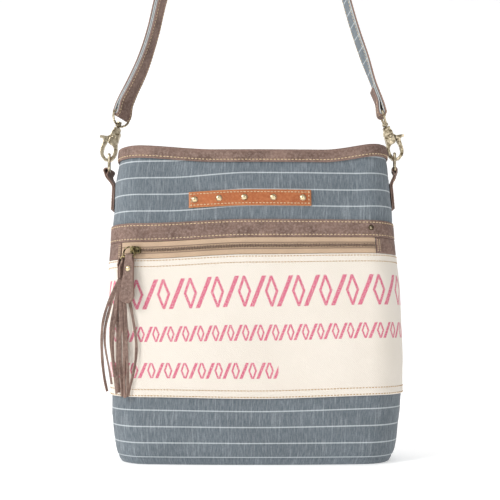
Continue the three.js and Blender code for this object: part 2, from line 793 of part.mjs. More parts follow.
// The tassel: a folded head edge on to the front, and strips that fan out below it.
// out: where a strip ends across, bow: how far its middle swings, both shares of
// TASSEL_SPREAD. drop: its end, a share of TASSEL_LENGTH. wide: share of TASSEL_STRIP.
const tasselStrips = [
  { out: -0.6, bow: -0.58, drop: 0.89, wide: 0.85 },
  { out: -0.78, bow: -0.72, drop: 0.95, wide: 0.85 },
  { out: -0.4, bow: -0.2, drop: 0.82, wide: 0.9 },
  { out: -0.28, bow: -0.42, drop: 0.97, wide: 0.95 },
  { out: -0.1, bow: -0.2, drop: 0.96, wide: 0.9 },
  { out: 0.08, bow: -0.08, drop: 0.99, wide: 1.05 },
  { out: 0.2, bow: 0.06, drop: 0.9, wide: 0.85 },
  { out: 0.27, bow: 0.02, drop: 1.0, wide: 1.0 },
  { out: 0.4, bow: 0.16, drop: 0.99, wide: 0.9 },
  { out: 0.5, bow: 0.62, drop: 0.98, wide: 0.85 },
];
const tasselHang = tasselRingCentre.clone().addScaledVector(cornerOut, LINK_RADIUS);
const tasselFoot = tasselHang.clone().addScaledVector(upward, -TASSEL_HEAD);

// How far forward something must be to hang clear in front of the panel
function clearOfPanel(x, z, room) {
  const level = THREE.MathUtils.clamp(z, panelBottom, panelTop);
  const { centre, halfWidth } = levelSizes(level);
  const share = THREE.MathUtils.clamp((x - centre) / halfWidth, -0.985, 0.985);
  const around = aroundAt(centre + share * halfWidth, level);
  return skin(around, level, GAP + PANEL_THICK).y - room;
}

function tasselStrip({ out, bow, drop, wide }, order) {
  const steps = 6;
  const half = (TASSEL_STRIP * wide) / 2;
  const layer = (order % 3) * 0.9;
  const turn = radians(((order * 37) % 50) - 25);
  const rings = columnsBetween(0, 1, steps).map((t) => {
    const z = tasselFoot.z + 3 - (TASSEL_LENGTH * drop + 3) * t;
    const x = tasselFoot.x + TASSEL_SPREAD * (out * Math.pow(t, 0.8) + bow * Math.sin(Math.PI * t));
    const room = TASSEL_STRIP_THICK + TASSEL_ROOM + layer;
    const free = clearOfPanel(x - half, z, room);
    const freeRight = clearOfPanel(x + half, z, room);
    const hung = Math.min(free, freeRight, tasselFoot.y + 2 - layer);
    const y = THREE.MathUtils.lerp(tasselFoot.y - 1, hung, smooth(t * 3));
    const spin = turn * smooth(t * 2) * 0.35;
    const w = THREE.MathUtils.lerp(half * 0.7, half, smooth(t * 4));
    const side = new THREE.Vector3(Math.cos(spin) * w, Math.sin(spin) * w, 0);
    const thick = new THREE.Vector3(0, TASSEL_STRIP_THICK / 2, 0);
    const middle = new THREE.Vector3(x, y, z);
    return [
      middle.clone().add(side).sub(thick),
      middle.clone().add(side).add(thick),
      middle.clone().sub(side).add(thick),
      middle.clone().sub(side).sub(thick),
    ];
  });
  return loft(rings);
}

function tasselHeadPlace(geometry) {
  const turn = new THREE.Matrix4().makeBasis(turnedAlong, turnedOut.clone().negate(), upward);
  geometry.applyMatrix4(turn);
  geometry.translate(tasselHang.x, tasselHang.y, tasselHang.z);
  return geometry;
}

function tassel() {
  const head = plate(foldedStrip(TASSEL_EYE, 0.4, LEATHER, TASSEL_HEAD), TASSEL_HEAD_WIDTH);
  head.translate(0, -1, 0);
  const around = 2 * TASSEL_HEAD;
  const lower = new THREE.BoxGeometry(around, around, TASSEL_HEAD);
  lower.translate(0, 0, -TASSEL_HEAD / 2 - TASSEL_EYE_WIDTH);
  const eyePart = new THREE.BoxGeometry(around, TASSEL_EYE_WIDTH, 3 * TASSEL_EYE_WIDTH);
  const upper = toSolid(head).intersect(toSolid(eyePart));
  const rest = toSolid(head).intersect(toSolid(lower));
  const knot = new THREE.BoxGeometry(TASSEL_KNOT, TASSEL_KNOT, TASSEL_STRIP);
  knot.translate(0, -1, -TASSEL_HEAD + 1);
  const headSolid = toSolid(
    tasselHeadPlace(toGeometry(joined(upper, rest, toSolid(knot)))),
  );
  const strips = tasselStrips.map((strip, order) => toSolid(tasselStrip(strip, order)));
  return toGeometry(joined(headSolid, ...strips));
}

function tasselRivet() {
  const seat = new THREE.Vector3(-GAP / 2 - LEATHER - GAP, -1, -TASSEL_HEAD * 0.62);
  const out = new THREE.Vector3(-1, 0, 0);
  return tasselHeadPlace(domeAt(seat, out, SMALL_RIVET, RIVET_HEIGHT, 10));
}

// The two ends. side: -1 left, 1 right. offRim, aboveRim: how far the clasp's axis stands out
// from the rim's end and above the rim, at the height of its lever pin. twist: how far the
// strap is turned at the clasp. around: the side's station.
const rimRow = bodyTable[bodyTable.length - 1];
const ends = [
  { name: "left", side: -1, offRim: 6.71, aboveRim: 22.8, twist: 34, around: 7.5 },
  { name: "right", side: 1, offRim: 5.065, aboveRim: 23.7, twist: -6, around: 2.5 },
].map((end) => ({
  ...end,
  axisX: end.side * (rimRow[end.name] * HALF_WIDTH + end.offRim),
  axisZ: BAG_HEIGHT + end.aboveRim,
}));
const claspUnit = CLASP_LENGTH / 50;
const PIVOT_OUT = 1;
const RING_SEAT = { out: -0.4, down: 20.8 };
const EYE_BAR = 26;
const EYE_BOTTOM = 13.2;
const EYE_HALF_WIDTH = STRAP_WIDTH / 2 + GAP + 0.3 + EYE_WIRE;
const COLLAR_TOP = 10.5;

// A clasp is drawn for the right end, X outwards and Z along its axis. Its outlines are in
// fiftieths of CLASP_LENGTH.
function claspPlace(geometry, end) {
  if (end.side < 0) {
    geometry.scale(-1, 1, 1);
    geometry.index.array.reverse();
  }
  geometry.rotateY(radians(-CLASP_TILT * end.side));
  geometry.translate(end.axisX, 0, end.axisZ);
  return geometry;
}

function claspPoint(end, out, up) {
  const tilt = radians(CLASP_TILT);
  return new THREE.Vector3(
    end.axisX + end.side * (out * Math.cos(tilt) - up * Math.sin(tilt)),
    0,
    end.axisZ + out * Math.sin(tilt) + up * Math.cos(tilt),
  );
}

const outlinePoints = (pairs) => pairs.map(([x, y]) => new THREE.Vector2(x, y));

function claspBody(end) {
  const shape = new THREE.Shape();
  shape.moveTo(3.6, COLLAR_TOP);
  shape.lineTo(-3.6, COLLAR_TOP);
  shape.lineTo(-3.6, 7);
  shape.lineTo(-5, 5);
  shape.lineTo(-5, -6.5);
  shape.splineThru(outlinePoints([[-6.8, -12], [-7, -17.5], [-5.9, -22], [-3.5, -25.8]]));
  shape.lineTo(-2.3, -23.4);
  shape.splineThru(outlinePoints([[-3.3, -20.4], [-3.9, -16.5], [-3.2, -12], [0, -8.8]]));
  shape.lineTo(4.8, -7.6);
  shape.lineTo(4.8, 5);
  shape.lineTo(3.6, 7);
  shape.closePath();
  const plateSolid = toSolid(plate(shape, CLASP_THICK, 3).scale(claspUnit, 1, claspUnit));
  const slotThick = HUB_THICK + 2 * GAP;
  const slot = new THREE.BoxGeometry(13, slotThick, 13.4).translate(3.5, 0, -2.3);
  const hole = new THREE.CylinderGeometry(PIN_RADIUS + GAP, PIN_RADIUS + GAP, 12, 12);
  hole.translate(PIVOT_OUT, 0, 0);
  const post = new THREE.CylinderGeometry(1.5, 1.5, 6, 12).rotateX(Math.PI / 2);
  post.translate(0, 0, COLLAR_TOP + 2.4);
  const knob = new THREE.CylinderGeometry(2.6, 2.6, 2.4, 12).rotateX(Math.PI / 2);
  knob.translate(0, 0, EYE_BOTTOM + 3);
  const solid = joined(plateSolid, toSolid(post), toSolid(knob))
    .subtract(toSolid(slot))
    .subtract(toSolid(hole));
  return claspPlace(toGeometry(solid), end);
}

function claspLever(end) {
  const jaw = new THREE.Shape();
  jaw.moveTo(6.2, -0.6);
  jaw.splineThru(outlinePoints([[9.5, -1.2], [13.2, -1.7], [15.6, -2.7]]));
  jaw.lineTo(15.4, -4.4);
  jaw.splineThru(outlinePoints([[12.5, -4.5], [10.5, -6.6], [10.4, -17], [8, -23], [3, -26.8]]));
  jaw.lineTo(-2.9, -26.2);
  jaw.lineTo(-1.7, -23.5);
  jaw.splineThru(outlinePoints([[2, -23.4], [6, -20], [7, -15.5], [6.8, -11], [6.1, -8.4]]));
  jaw.closePath();
  const neck = new THREE.Shape();
  neck.moveTo(1, 3.3);
  neck.lineTo(5, 2.2);
  neck.lineTo(8.5, -1.4);
  neck.lineTo(8.2, -8);
  neck.lineTo(5.6, -5.6);
  neck.lineTo(1, -3.3);
  neck.closePath();
  const hub = new THREE.CylinderGeometry(3.4, 3.4, HUB_THICK, 16).translate(PIVOT_OUT, 0, 0);
  const hole = new THREE.CylinderGeometry(PIN_RADIUS + GAP, PIN_RADIUS + GAP, 12, 12);
  hole.translate(PIVOT_OUT, 0, 0);
  const solid = joined(
    toSolid(plate(jaw, LEVER_THICK, 3).scale(claspUnit, 1, claspUnit)),
    toSolid(plate(neck, HUB_THICK).scale(claspUnit, 1, claspUnit)),
    toSolid(hub),
  ).subtract(toSolid(hole));
  return claspPlace(toGeometry(solid), end);
}

function claspPin(end) {
  const pin = new THREE.CylinderGeometry(PIN_RADIUS, PIN_RADIUS, CLASP_THICK + 0.8, 12);
  pin.translate(PIVOT_OUT, 0, 0);
  return claspPlace(toGeometry(toSolid(pin)), end);
}

// The swivel eye: a D of wire with a boss that turns on the clasp's post
function claspEye(end) {
  const widthDir = new THREE.Vector3(0, 1, 0);
  const points = [];
  const corner = 2;
  for (const side of [1, -1]) {
    const arc = [];
    for (let k = 0; k <= 2; k += 1) {
      const angle = radians(45 * k);
      const across = EYE_HALF_WIDTH - corner + corner * Math.cos(angle);
      arc.push([side * across, EYE_BAR - corner + corner * Math.sin(angle)]);
    }
    if (side < 0) arc.reverse();
    points.push(...arc);
  }
  const drop = EYE_BAR - corner - EYE_BOTTOM;
  const steps = 8;
  for (let k = 1; k < steps; k += 1) {
    const angle = radians(180 + (180 * k) / steps);
    points.push([EYE_HALF_WIDTH * Math.cos(angle), EYE_BAR - corner + drop * Math.sin(angle)]);
  }
  const path = points.map(([w, up]) =>
    new THREE.Vector3(0, 0, up).addScaledVector(widthDir, w),
  );
  const ring = wire(path, new THREE.Vector3(1, 0, 0), EYE_WIRE, 6, true);
  const boss = new THREE.CylinderGeometry(3.3, 3.3, 2.8, 12).rotateX(Math.PI / 2);
  boss.translate(0, 0, EYE_BOTTOM);
  const hole = new THREE.CylinderGeometry(1.8, 1.8, 8, 12).rotateX(Math.PI / 2);
  hole.translate(0, 0, EYE_BOTTOM);
  const eye = toGeometry(joined(toSolid(ring), toSolid(boss)).subtract(toSolid(hole)));
  eye.rotateZ(radians(end.twist));
  return claspPlace(eye, end);
}

// The ring in the side tab: the clasp's jaw holds its upper bar
const ringBar = (end) => claspPoint(end, RING_SEAT.out, -RING_SEAT.down);

function ringCentre(end) {
  return ringBar(end).addScaledVector(upward, -SIDE_RING_HALF_HEIGHT);
}

function sideRing(end) {
  const points = roundedLoop(
    SIDE_RING_HALF_WIDTH,
    SIDE_RING_HALF_HEIGHT,
    SIDE_RING_CORNER,
    3,
    new THREE.Vector3(0, 1, 0),
    upward,
    ringCentre(end),
  );
  return wire(points, new THREE.Vector3(1, 0, 0), SIDE_RING_WIRE, 6, true);
}

// The leather tab: one strip folded over the ring's lower bar, its plies sewn to the side
function sideTab(end) {
  const bar = ringCentre(end).addScaledVector(upward, -SIDE_RING_HALF_HEIGHT);
  const eye = SIDE_RING_WIRE + GAP;
  const foot = bar.z - SIDE_TAB_LENGTH;
  const out = end.side;
  const sideAt = (z) => Math.abs(skin(end.around, levelAtHeight(end.around, z)).x);
  const heights = columnsBetween(foot, bar.z - 4, 5);
  const barOut = Math.abs(bar.x);
  const lying = heights.map((z) => {
    const near = smooth((bar.z - z - 4) / 14);
    return THREE.MathUtils.lerp(Math.max(barOut - eye * 0.6, sideAt(z) + GAP), sideAt(z) + GAP, near);
  });
  const inner = [];
  const outer = [];
  const folds = 6;
  heights.forEach((z, k) => {
    const step = Math.max(lying[k], sideAt(z) + GAP);
    inner.push([step, z], [step + LEATHER, z]);
    outer.push([step + LEATHER + GAP, z], [step + 2 * LEATHER + GAP, z]);
  });
  const inside = inner.filter((_, k) => k % 2 === 0);
  const insideFace = inner.filter((_, k) => k % 2 === 1);
  const outsideFace = outer.filter((_, k) => k % 2 === 0);
  const outside = outer.filter((_, k) => k % 2 === 1);
  const arc = (radius) =>
    Array.from({ length: folds + 1 }, (_, k) => {
      const angle = Math.PI - (Math.PI * k) / folds;
      return [barOut + radius * Math.cos(angle), bar.z + radius * Math.sin(angle)];
    });
  const half = SIDE_TAB_WIDTH / 2;
  const skinSide = [...inside, ...arc(eye + LEATHER), ...outside.reverse()];
  const hollowSide = [...insideFace, ...arc(eye), ...outsideFace.reverse()];
  const rings = skinSide.map((pair, k) => {
    const other = hollowSide[k];
    return [
      new THREE.Vector3(out * pair[0], -half, pair[1]),
      new THREE.Vector3(out * pair[0], half, pair[1]),
      new THREE.Vector3(out * other[0], half, other[1]),
      new THREE.Vector3(out * other[0], -half, other[1]),
    ];
  });
  return loft(rings);
}

// The strap. Its frames run from the right end's tab round the right eye, up, over the top,
// down, round the left eye and back up to the keeper. Each has a place, the direction that
// the leather faces and the direction of the strap's width.
const strapThick = STRAP_LEATHER + GAP + STRAP_CANVAS;
const plyRadius = EYE_WIRE + GAP + strapThick / 2;
const plyApart = strapThick + PLY_GAP;
const eyeBar = (end) => claspPoint(end, 0, EYE_BAR);
const strapFoot = Math.min(eyeBar(ends[0]).z, eyeBar(ends[1]).z);
const topCentre = strapFoot + STRAP_RISE;

// How the legs close in from the eyes to the top: out as a share of the eye's distance from
// the middle, up as a share of STRAP_RISE. twist: degrees that the inner face turns forward.
const legs = {
  left: [
    { up: 0.065, out: 0.94 },
    { up: 0.16, out: 0.843 },
    { up: 0.27, out: 0.764 },
    { up: 0.375, out: 0.709 },
    { up: 0.7, out: 0.51 },
  ],
  right: [
    { up: 0.085, out: 0.927 },
    { up: 0.16, out: 0.866 },
    { up: 0.268, out: 0.779 },
    { up: 0.375, out: 0.706 },
    { up: 0.7, out: 0.51 },
  ],
};
const twists = {
  left: [
    { up: 0, turn: 34 },
    { up: 0.1, turn: 20 },
    { up: 0.25, turn: 13 },
    { up: 0.6, turn: 12 },
    { up: 1.1, turn: 0 },
  ],
  right: [
    { up: 0, turn: -6 },
    { up: 0.09, turn: -3 },
    { up: 0.2, turn: 8 },
    { up: 0.6, turn: 9 },
    { up: 1.1, turn: 0 },
  ],
};

function twistAt(end, z) {
  const rows = twists[end.name];
  const up = (z - strapFoot) / STRAP_RISE;
  for (let k = 1; k < rows.length; k += 1) {
    if (up < rows[k].up) {
      const t = (up - rows[k - 1].up) / (rows[k].up - rows[k - 1].up);
      return THREE.MathUtils.lerp(rows[k - 1].turn, rows[k].turn, smooth(Math.max(t, 0)));
    }
  }
  return 0;
}

// The inward normal and width direction at a place where the strap runs along a direction
function strapFaces(end, along, z) {
  const flat = new THREE.Vector3(-end.side * along.z, 0, end.side * along.x).normalize();
  if (flat.x * end.side > 0) flat.negate();
  const turn = radians(twistAt(end, z));
  const front = new THREE.Vector3(0, -1, 0);
  const inward = flat.clone().multiplyScalar(Math.cos(turn)).addScaledVector(front, Math.sin(turn));
  const width = front.negate().multiplyScalar(Math.cos(turn)).addScaledVector(flat, Math.sin(turn));
  return { inward, width };
}

const claspAxis = (end) => {
  const tilt = radians(CLASP_TILT);
  return new THREE.Vector3(-end.side * Math.sin(tilt), 0, Math.cos(tilt));
};

// The strap's single run from the right eye to the left eye
function mainRun() {
  const points = [];
  for (const end of [ends[1], ends[0]]) {
    const bar = eyeBar(end);
    const { inward } = strapFaces(end, claspAxis(end), bar.z);
    const start = bar.clone().addScaledVector(inward, -plyRadius);
    const leg = [start, start.clone().addScaledVector(claspAxis(end), 9)];
    const reach = Math.abs(bar.x) + plyRadius;
    for (const row of legs[end.name]) {
      leg.push(new THREE.Vector3(end.side * row.out * reach, 0, bar.z + row.up * STRAP_RISE));
    }
    for (const angle of [16, 40, 65]) {
      const a = radians(angle);
      leg.push(
        new THREE.Vector3(
          end.side * STRAP_TOP_RADIUS * Math.cos(a),
          0,
          topCentre + STRAP_TOP_RADIUS * Math.sin(a),
        ),
      );
    }
    if (end.side > 0) points.push(...leg, new THREE.Vector3(0, 0, topCentre + STRAP_TOP_RADIUS));
    else points.push(...leg.reverse());
  }
  return new THREE.CatmullRomCurve3(points, false, "centripetal");
}

function strapFrames() {
  const curve = mainRun();
  const steps = 50;
  const main = columnsBetween(0, 1, steps).map((t) => {
    const place = curve.getPointAt(t);
    const along = curve.getTangentAt(t);
    const end = place.x > 0 ? ends[1] : ends[0];
    if (end.side < 0) along.negate();
    const atEnd = t === 0 || t === 1;
    const direction = atEnd ? claspAxis(end) : along;
    const { inward, width } = strapFaces(end, direction, atEnd ? eyeBar(end).z : place.z);
    return { place, inward, width, end };
  });
  const turnRound = (end) => {
    const bar = eyeBar(end);
    const axis = claspAxis(end);
    const { inward, width } = strapFaces(end, axis, bar.z);
    return [30, 60, 90, 120, 150].map((degrees) => {
      const a = radians(degrees);
      const out = inward.clone().multiplyScalar(-Math.cos(a)).addScaledVector(axis, -Math.sin(a));
      return { place: bar.clone().addScaledVector(out, plyRadius), out, width };
    });
  };
  const returned = (frames, length) => {
    const back = [];
    let run = 0;
    for (let k = 0; k < frames.length && run < length; k += 1) {
      if (k > 0) run += frames[k].place.distanceTo(frames[k - 1].place);
      const apart = THREE.MathUtils.lerp(2 * plyRadius, plyApart, smooth(run / 16));
      const { place, inward, width } = frames[k];
      back.push({ place: place.clone().addScaledVector(inward, apart), out: inward, width });
    }
    return back;
  };
  const onMain = main.map(({ place, inward, width }) => ({
    place,
    out: inward.clone().negate(),
    width,
  }));
  return {
    main,
    frames: [
      ...returned(main, STRAP_END_TAB).reverse(),
      ...turnRound(ends[1]).reverse(),
      ...onMain,
      ...turnRound(ends[0]),
      ...returned([...main].reverse(), STRAP_RETURN),
    ],
  };
}

const strap = strapFrames();

function strapLayer(from, to, half) {
  const rings = strap.frames.map(({ place, out, width }) => [
    place.clone().addScaledVector(width, half).addScaledVector(out, from),
    place.clone().addScaledVector(width, -half).addScaledVector(out, from),
    place.clone().addScaledVector(width, -half).addScaledVector(out, to),
    place.clone().addScaledVector(width, half).addScaledVector(out, to),
  ]);
  return loft(rings);
}

// A plain keeper round both plies near the end of the left return
function strapKeeper() {
  const leftLeg = strap.main.filter(({ place }) => place.x < 0);
  const frame = leftLeg.reduce((best, one) => {
    const along = (f) => Math.abs(f.place.z - strapFoot - STRAP_RETURN + 2 * KEEPER_HEIGHT);
    return along(one) < along(best) ? one : best;
  });
  const shape = new THREE.Shape();
  const room = GAP + 0.2;
  const halfW = STRAP_WIDTH / 2 + room;
  const low = -strapThick / 2 - room;
  const high = plyApart + strapThick / 2 + room;
  const rectangle = (target, grow) => {
    target.moveTo(-halfW - grow, low - grow);
    target.lineTo(halfW + grow, low - grow);
    target.lineTo(halfW + grow, high + grow);
    target.lineTo(-halfW - grow, high + grow);
    target.closePath();
    return target;
  };
  rectangle(shape, KEEPER_WALL);
  shape.holes.push(rectangle(new THREE.Path(), 0));
  const geometry = new THREE.ExtrudeGeometry(shape, { depth: KEEPER_HEIGHT, bevelEnabled: false });
  geometry.translate(0, 0, -KEEPER_HEIGHT / 2);
  const along = new THREE.Vector3().crossVectors(frame.width, frame.inward);
  geometry.applyMatrix4(new THREE.Matrix4().makeBasis(frame.width, frame.inward, along));
  geometry.translate(frame.place.x, frame.place.y, frame.place.z);
  return geometry;
}

// The whole bag, lowered so that the strap's underside at its top is the origin
const bag = new THREE.Group();

function add(name, geometry, material) {
  const mesh = new THREE.Mesh(geometry, material);
  mesh.name = name;
  bag.add(mesh);
}

add("canvas_body", canvasBody(), stripedCanvas);
add("rim_binding", rimBinding(), brownLeather);
add("cream_panel", wrap(panelBottom, panelTop, GAP, PANEL_THICK), creamCanvas);
add("leather_band", wrap(bandBottom, bandTop, GAP, LEATHER), brownLeather);
add("front_patch", frontPatch(), tanLeather);
patchRivets.forEach((share, k) => {
  const across = share * (PATCH_WIDTH / 2);
  const level = patchLevel + across * patchSlope;
  const x = PATCH_OFF_CENTRE + across;
  const rivet = rivetOn(x, level, PATCH_SEAT + LEATHER + RIVET_SEAT, RIVET_RADIUS, RIVET_HEIGHT);
  add(`patch_rivet_${k + 1}`, rivet, paleBrass);
});
const studLevel = bandBottom + STUD_ABOVE_BAND_EDGE;
const studOut = GAP + LEATHER + STUD_SEAT;
const stud = rivetOn(HALF_WIDTH - STUD_FROM_SIDE, studLevel, studOut, STUD_RADIUS, RIVET_HEIGHT);
add("band_stud", stud, agedBrass);
add("zip_tape", zipTape(), zipTapeCloth);
add("zip_teeth", zipTeeth(), agedBrass);
for (const end of zipEnds) add(end.name, zipEnd(end), brownLeather);
add("zip_slider", zipSlider(), agedBrass);
add("pull_ring", pullRing(), agedBrass);
add("pull_tab", pullTab(), brownLeather);
add("pull_rivet", pullRivet(), paleBrass);
add("tassel_ring", tasselRing(), agedBrass);
add("tassel", tassel(), brownLeather);
add("tassel_rivet", tasselRivet(), paleBrass);
for (const end of ends) {
  add(`side_tab_${end.name}`, sideTab(end), brownLeather);
  add(`side_ring_${end.name}`, sideRing(end), agedBrass);
  add(`clasp_body_${end.name}`, claspBody(end), agedBrass);
  add(`clasp_lever_${end.name}`, claspLever(end), agedBrass);
  add(`clasp_pin_${end.name}`, claspPin(end), agedBrass);
  add(`clasp_eye_${end.name}`, claspEye(end), agedBrass);
}
const canvasStart = -strapThick / 2;
const canvasEnd = canvasStart + STRAP_CANVAS;
add("strap_canvas", strapLayer(canvasStart, canvasEnd, STRAP_WIDTH / 2), stripedCanvas);
const leatherStart = strapThick / 2 - STRAP_LEATHER;
add("strap_leather", strapLayer(leatherStart, strapThick / 2, -STRAP_WIDTH / 2), brownLeather);
add("strap_keeper", strapKeeper(), agedBrass);

bag.position.z = -(topCentre + STRAP_TOP_RADIUS - strapThick / 2);

const part = new THREE.Group();
part.add(bag);

export default part;
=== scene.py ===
# %% [markdown]
# # A canvas and leather shoulder bag
#
# This lesson dresses a plain CAD model of a small shoulder bag. The CAD gives the sizes, the
# places and the two clasp levers that move. Here each soft piece is remade with its folds,
# stitches and rounded edges, each metal piece gets the soft edges of a casting, and every
# surface gets a finish made from nodes.

# %% The tools and the fixed frame
import json
import math

import bmesh
import bpy
import numpy as np
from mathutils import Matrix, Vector, noise

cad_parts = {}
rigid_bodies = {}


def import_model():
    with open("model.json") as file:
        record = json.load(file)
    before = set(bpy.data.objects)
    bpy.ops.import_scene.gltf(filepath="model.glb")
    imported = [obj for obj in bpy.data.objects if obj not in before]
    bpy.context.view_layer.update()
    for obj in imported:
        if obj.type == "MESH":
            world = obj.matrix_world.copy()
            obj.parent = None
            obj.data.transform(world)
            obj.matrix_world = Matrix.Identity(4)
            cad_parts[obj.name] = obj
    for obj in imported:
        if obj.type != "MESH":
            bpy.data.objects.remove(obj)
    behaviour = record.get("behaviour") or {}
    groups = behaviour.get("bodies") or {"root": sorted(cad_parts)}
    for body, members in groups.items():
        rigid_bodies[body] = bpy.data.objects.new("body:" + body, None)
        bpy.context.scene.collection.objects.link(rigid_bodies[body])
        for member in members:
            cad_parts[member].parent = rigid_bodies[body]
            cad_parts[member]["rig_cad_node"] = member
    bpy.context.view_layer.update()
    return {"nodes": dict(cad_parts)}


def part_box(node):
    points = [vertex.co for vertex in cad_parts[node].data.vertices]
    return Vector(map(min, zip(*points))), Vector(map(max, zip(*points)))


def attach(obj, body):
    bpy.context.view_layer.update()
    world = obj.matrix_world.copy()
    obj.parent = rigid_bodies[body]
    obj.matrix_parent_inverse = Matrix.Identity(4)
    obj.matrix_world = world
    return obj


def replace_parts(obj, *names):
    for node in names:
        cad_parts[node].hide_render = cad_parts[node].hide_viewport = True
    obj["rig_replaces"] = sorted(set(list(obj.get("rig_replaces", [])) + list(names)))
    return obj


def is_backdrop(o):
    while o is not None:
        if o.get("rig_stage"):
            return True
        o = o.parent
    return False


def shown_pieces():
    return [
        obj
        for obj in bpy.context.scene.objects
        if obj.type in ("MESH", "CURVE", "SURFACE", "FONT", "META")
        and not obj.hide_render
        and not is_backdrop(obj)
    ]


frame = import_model()
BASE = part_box("canvas_body")[0].z
MM = 0.001

# %% [markdown]
# ## Where we stand
#
# The photograph was taken level, from about three quarters of a metre, with the horizon low
# on the bag. The same view needs a lens shift, because a tilted camera would make the sides
# lean. Lengths here are in millimetres above the bag's base, and become metres in one place.

# %% The camera
CAMERA_ACROSS = -5.5
CAMERA_BACK = 796.0
CAMERA_UP = 134.7
LENS = 54.0
SHIFT_UP = 0.16


def metres(across, depth, up):
    """A point in millimetres, up from the bag's base, as a place in the frame."""
    return Vector((across * MM, depth * MM, up * MM + BASE))


camera_data = bpy.data.cameras.new("camera")
camera_data.lens = LENS
camera_data.shift_y = SHIFT_UP
camera_data.clip_start = 0.01
camera = bpy.data.objects.new("camera", camera_data)
camera.location = metres(CAMERA_ACROSS, -CAMERA_BACK, CAMERA_UP)
camera.rotation_euler = (math.pi / 2, 0, 0)
bpy.context.scene.collection.objects.link(camera)
bpy.context.scene.camera = camera
print("camera at", [round(v, 3) for v in camera.location])

# %% The heights of the seams
PANEL_BOTTOM = 66.0
PANEL_TOP = 210.5
BAND_BOTTOM = 228.0
BAND_TOP = 246.0
BINDING_EDGE = 304.5
ZIP_LEVEL = (PANEL_TOP + BAND_BOTTOM) / 2
print("the zip runs", ZIP_LEVEL, "mm up the cloth")

# %% [markdown]
# ## Nodes and colours
#
# Every material and every Geometry Nodes tree below is a short list of nodes. One function
# adds a node with its settings and its links, whatever its kind. Colours are written as the
# hex values that an artist picks on a screen, and one function makes them linear.

# %% One function for nodes, one for colours


def add(tree, kind, links=None, **settings):
    """Adds a node. settings are its properties. links gives an input a value or another node's output."""
    node = tree.nodes.new(kind)
    for name, value in settings.items():
        setattr(node, name, value)
    for key, value in (links or {}).items():
        if isinstance(value, bpy.types.NodeSocket):
            tree.links.new(value, node.inputs[key])
        else:
            node.inputs[key].default_value = value
    return node


def hex_colour(text):
    """A linear colour from an sRGB hex value such as #7C8590."""
    channels = [int(text[k:k + 2], 16) / 255 for k in (1, 3, 5)]
    return [c / 12.92 if c <= 0.04045 else ((c + 0.055) / 1.055) ** 2.4 for c in channels] + [1.0]


def start_material(name, roughness, metallic=0.0):
    """A material with a shader whose plain numbers are set on its own sockets."""
    material = bpy.data.materials.new(name)
    material.use_nodes = True
    shader = material.node_tree.nodes["Principled BSDF"]
    shader.inputs["Roughness"].default_value = roughness
    shader.inputs["Metallic"].default_value = metallic
    return material, material.node_tree, shader


print("white is", hex_colour("#FFFFFF")[:3])

# %% [markdown]
# ## Yarn-dyed canvas
#
# The bag's cloth is a plain-weave cotton canvas. Its grey-blue warp runs up and down and is
# uneven, which gives the fine dark and light streaks, and a white thread crosses it every
# sixteen millimetres or so. The pattern reads the piece's own UV map, which is in metres along
# the cloth, so it bends with the folds. Real threads are half a millimetre apart, and are drawn
# a little coarser. The selvedge along a strip of this cloth is woven in white.

# %% Striped canvas
THREAD = 0.7 * MM
STRIPE_APART = 16.0
STRIPE_PITCH = STRIPE_APART * MM
STRIPE_HALF = 0.52 * MM
# how wide a band of the wave texture is, in metres, at a scale of 1
WAVE_UNIT = 0.314159
# how many fit in a metre along and across the stripes: streaks of 0.8 by 7 mm, slubs of 2 by
# 26 mm, flecks of 2.4 by 1.1 mm, and clouds 56 mm across
STREAKS, SLUBS, FLECKS, CLOUDS = (1300, 150, 1), (520, 38, 1), (420, 900, 1), 18.0


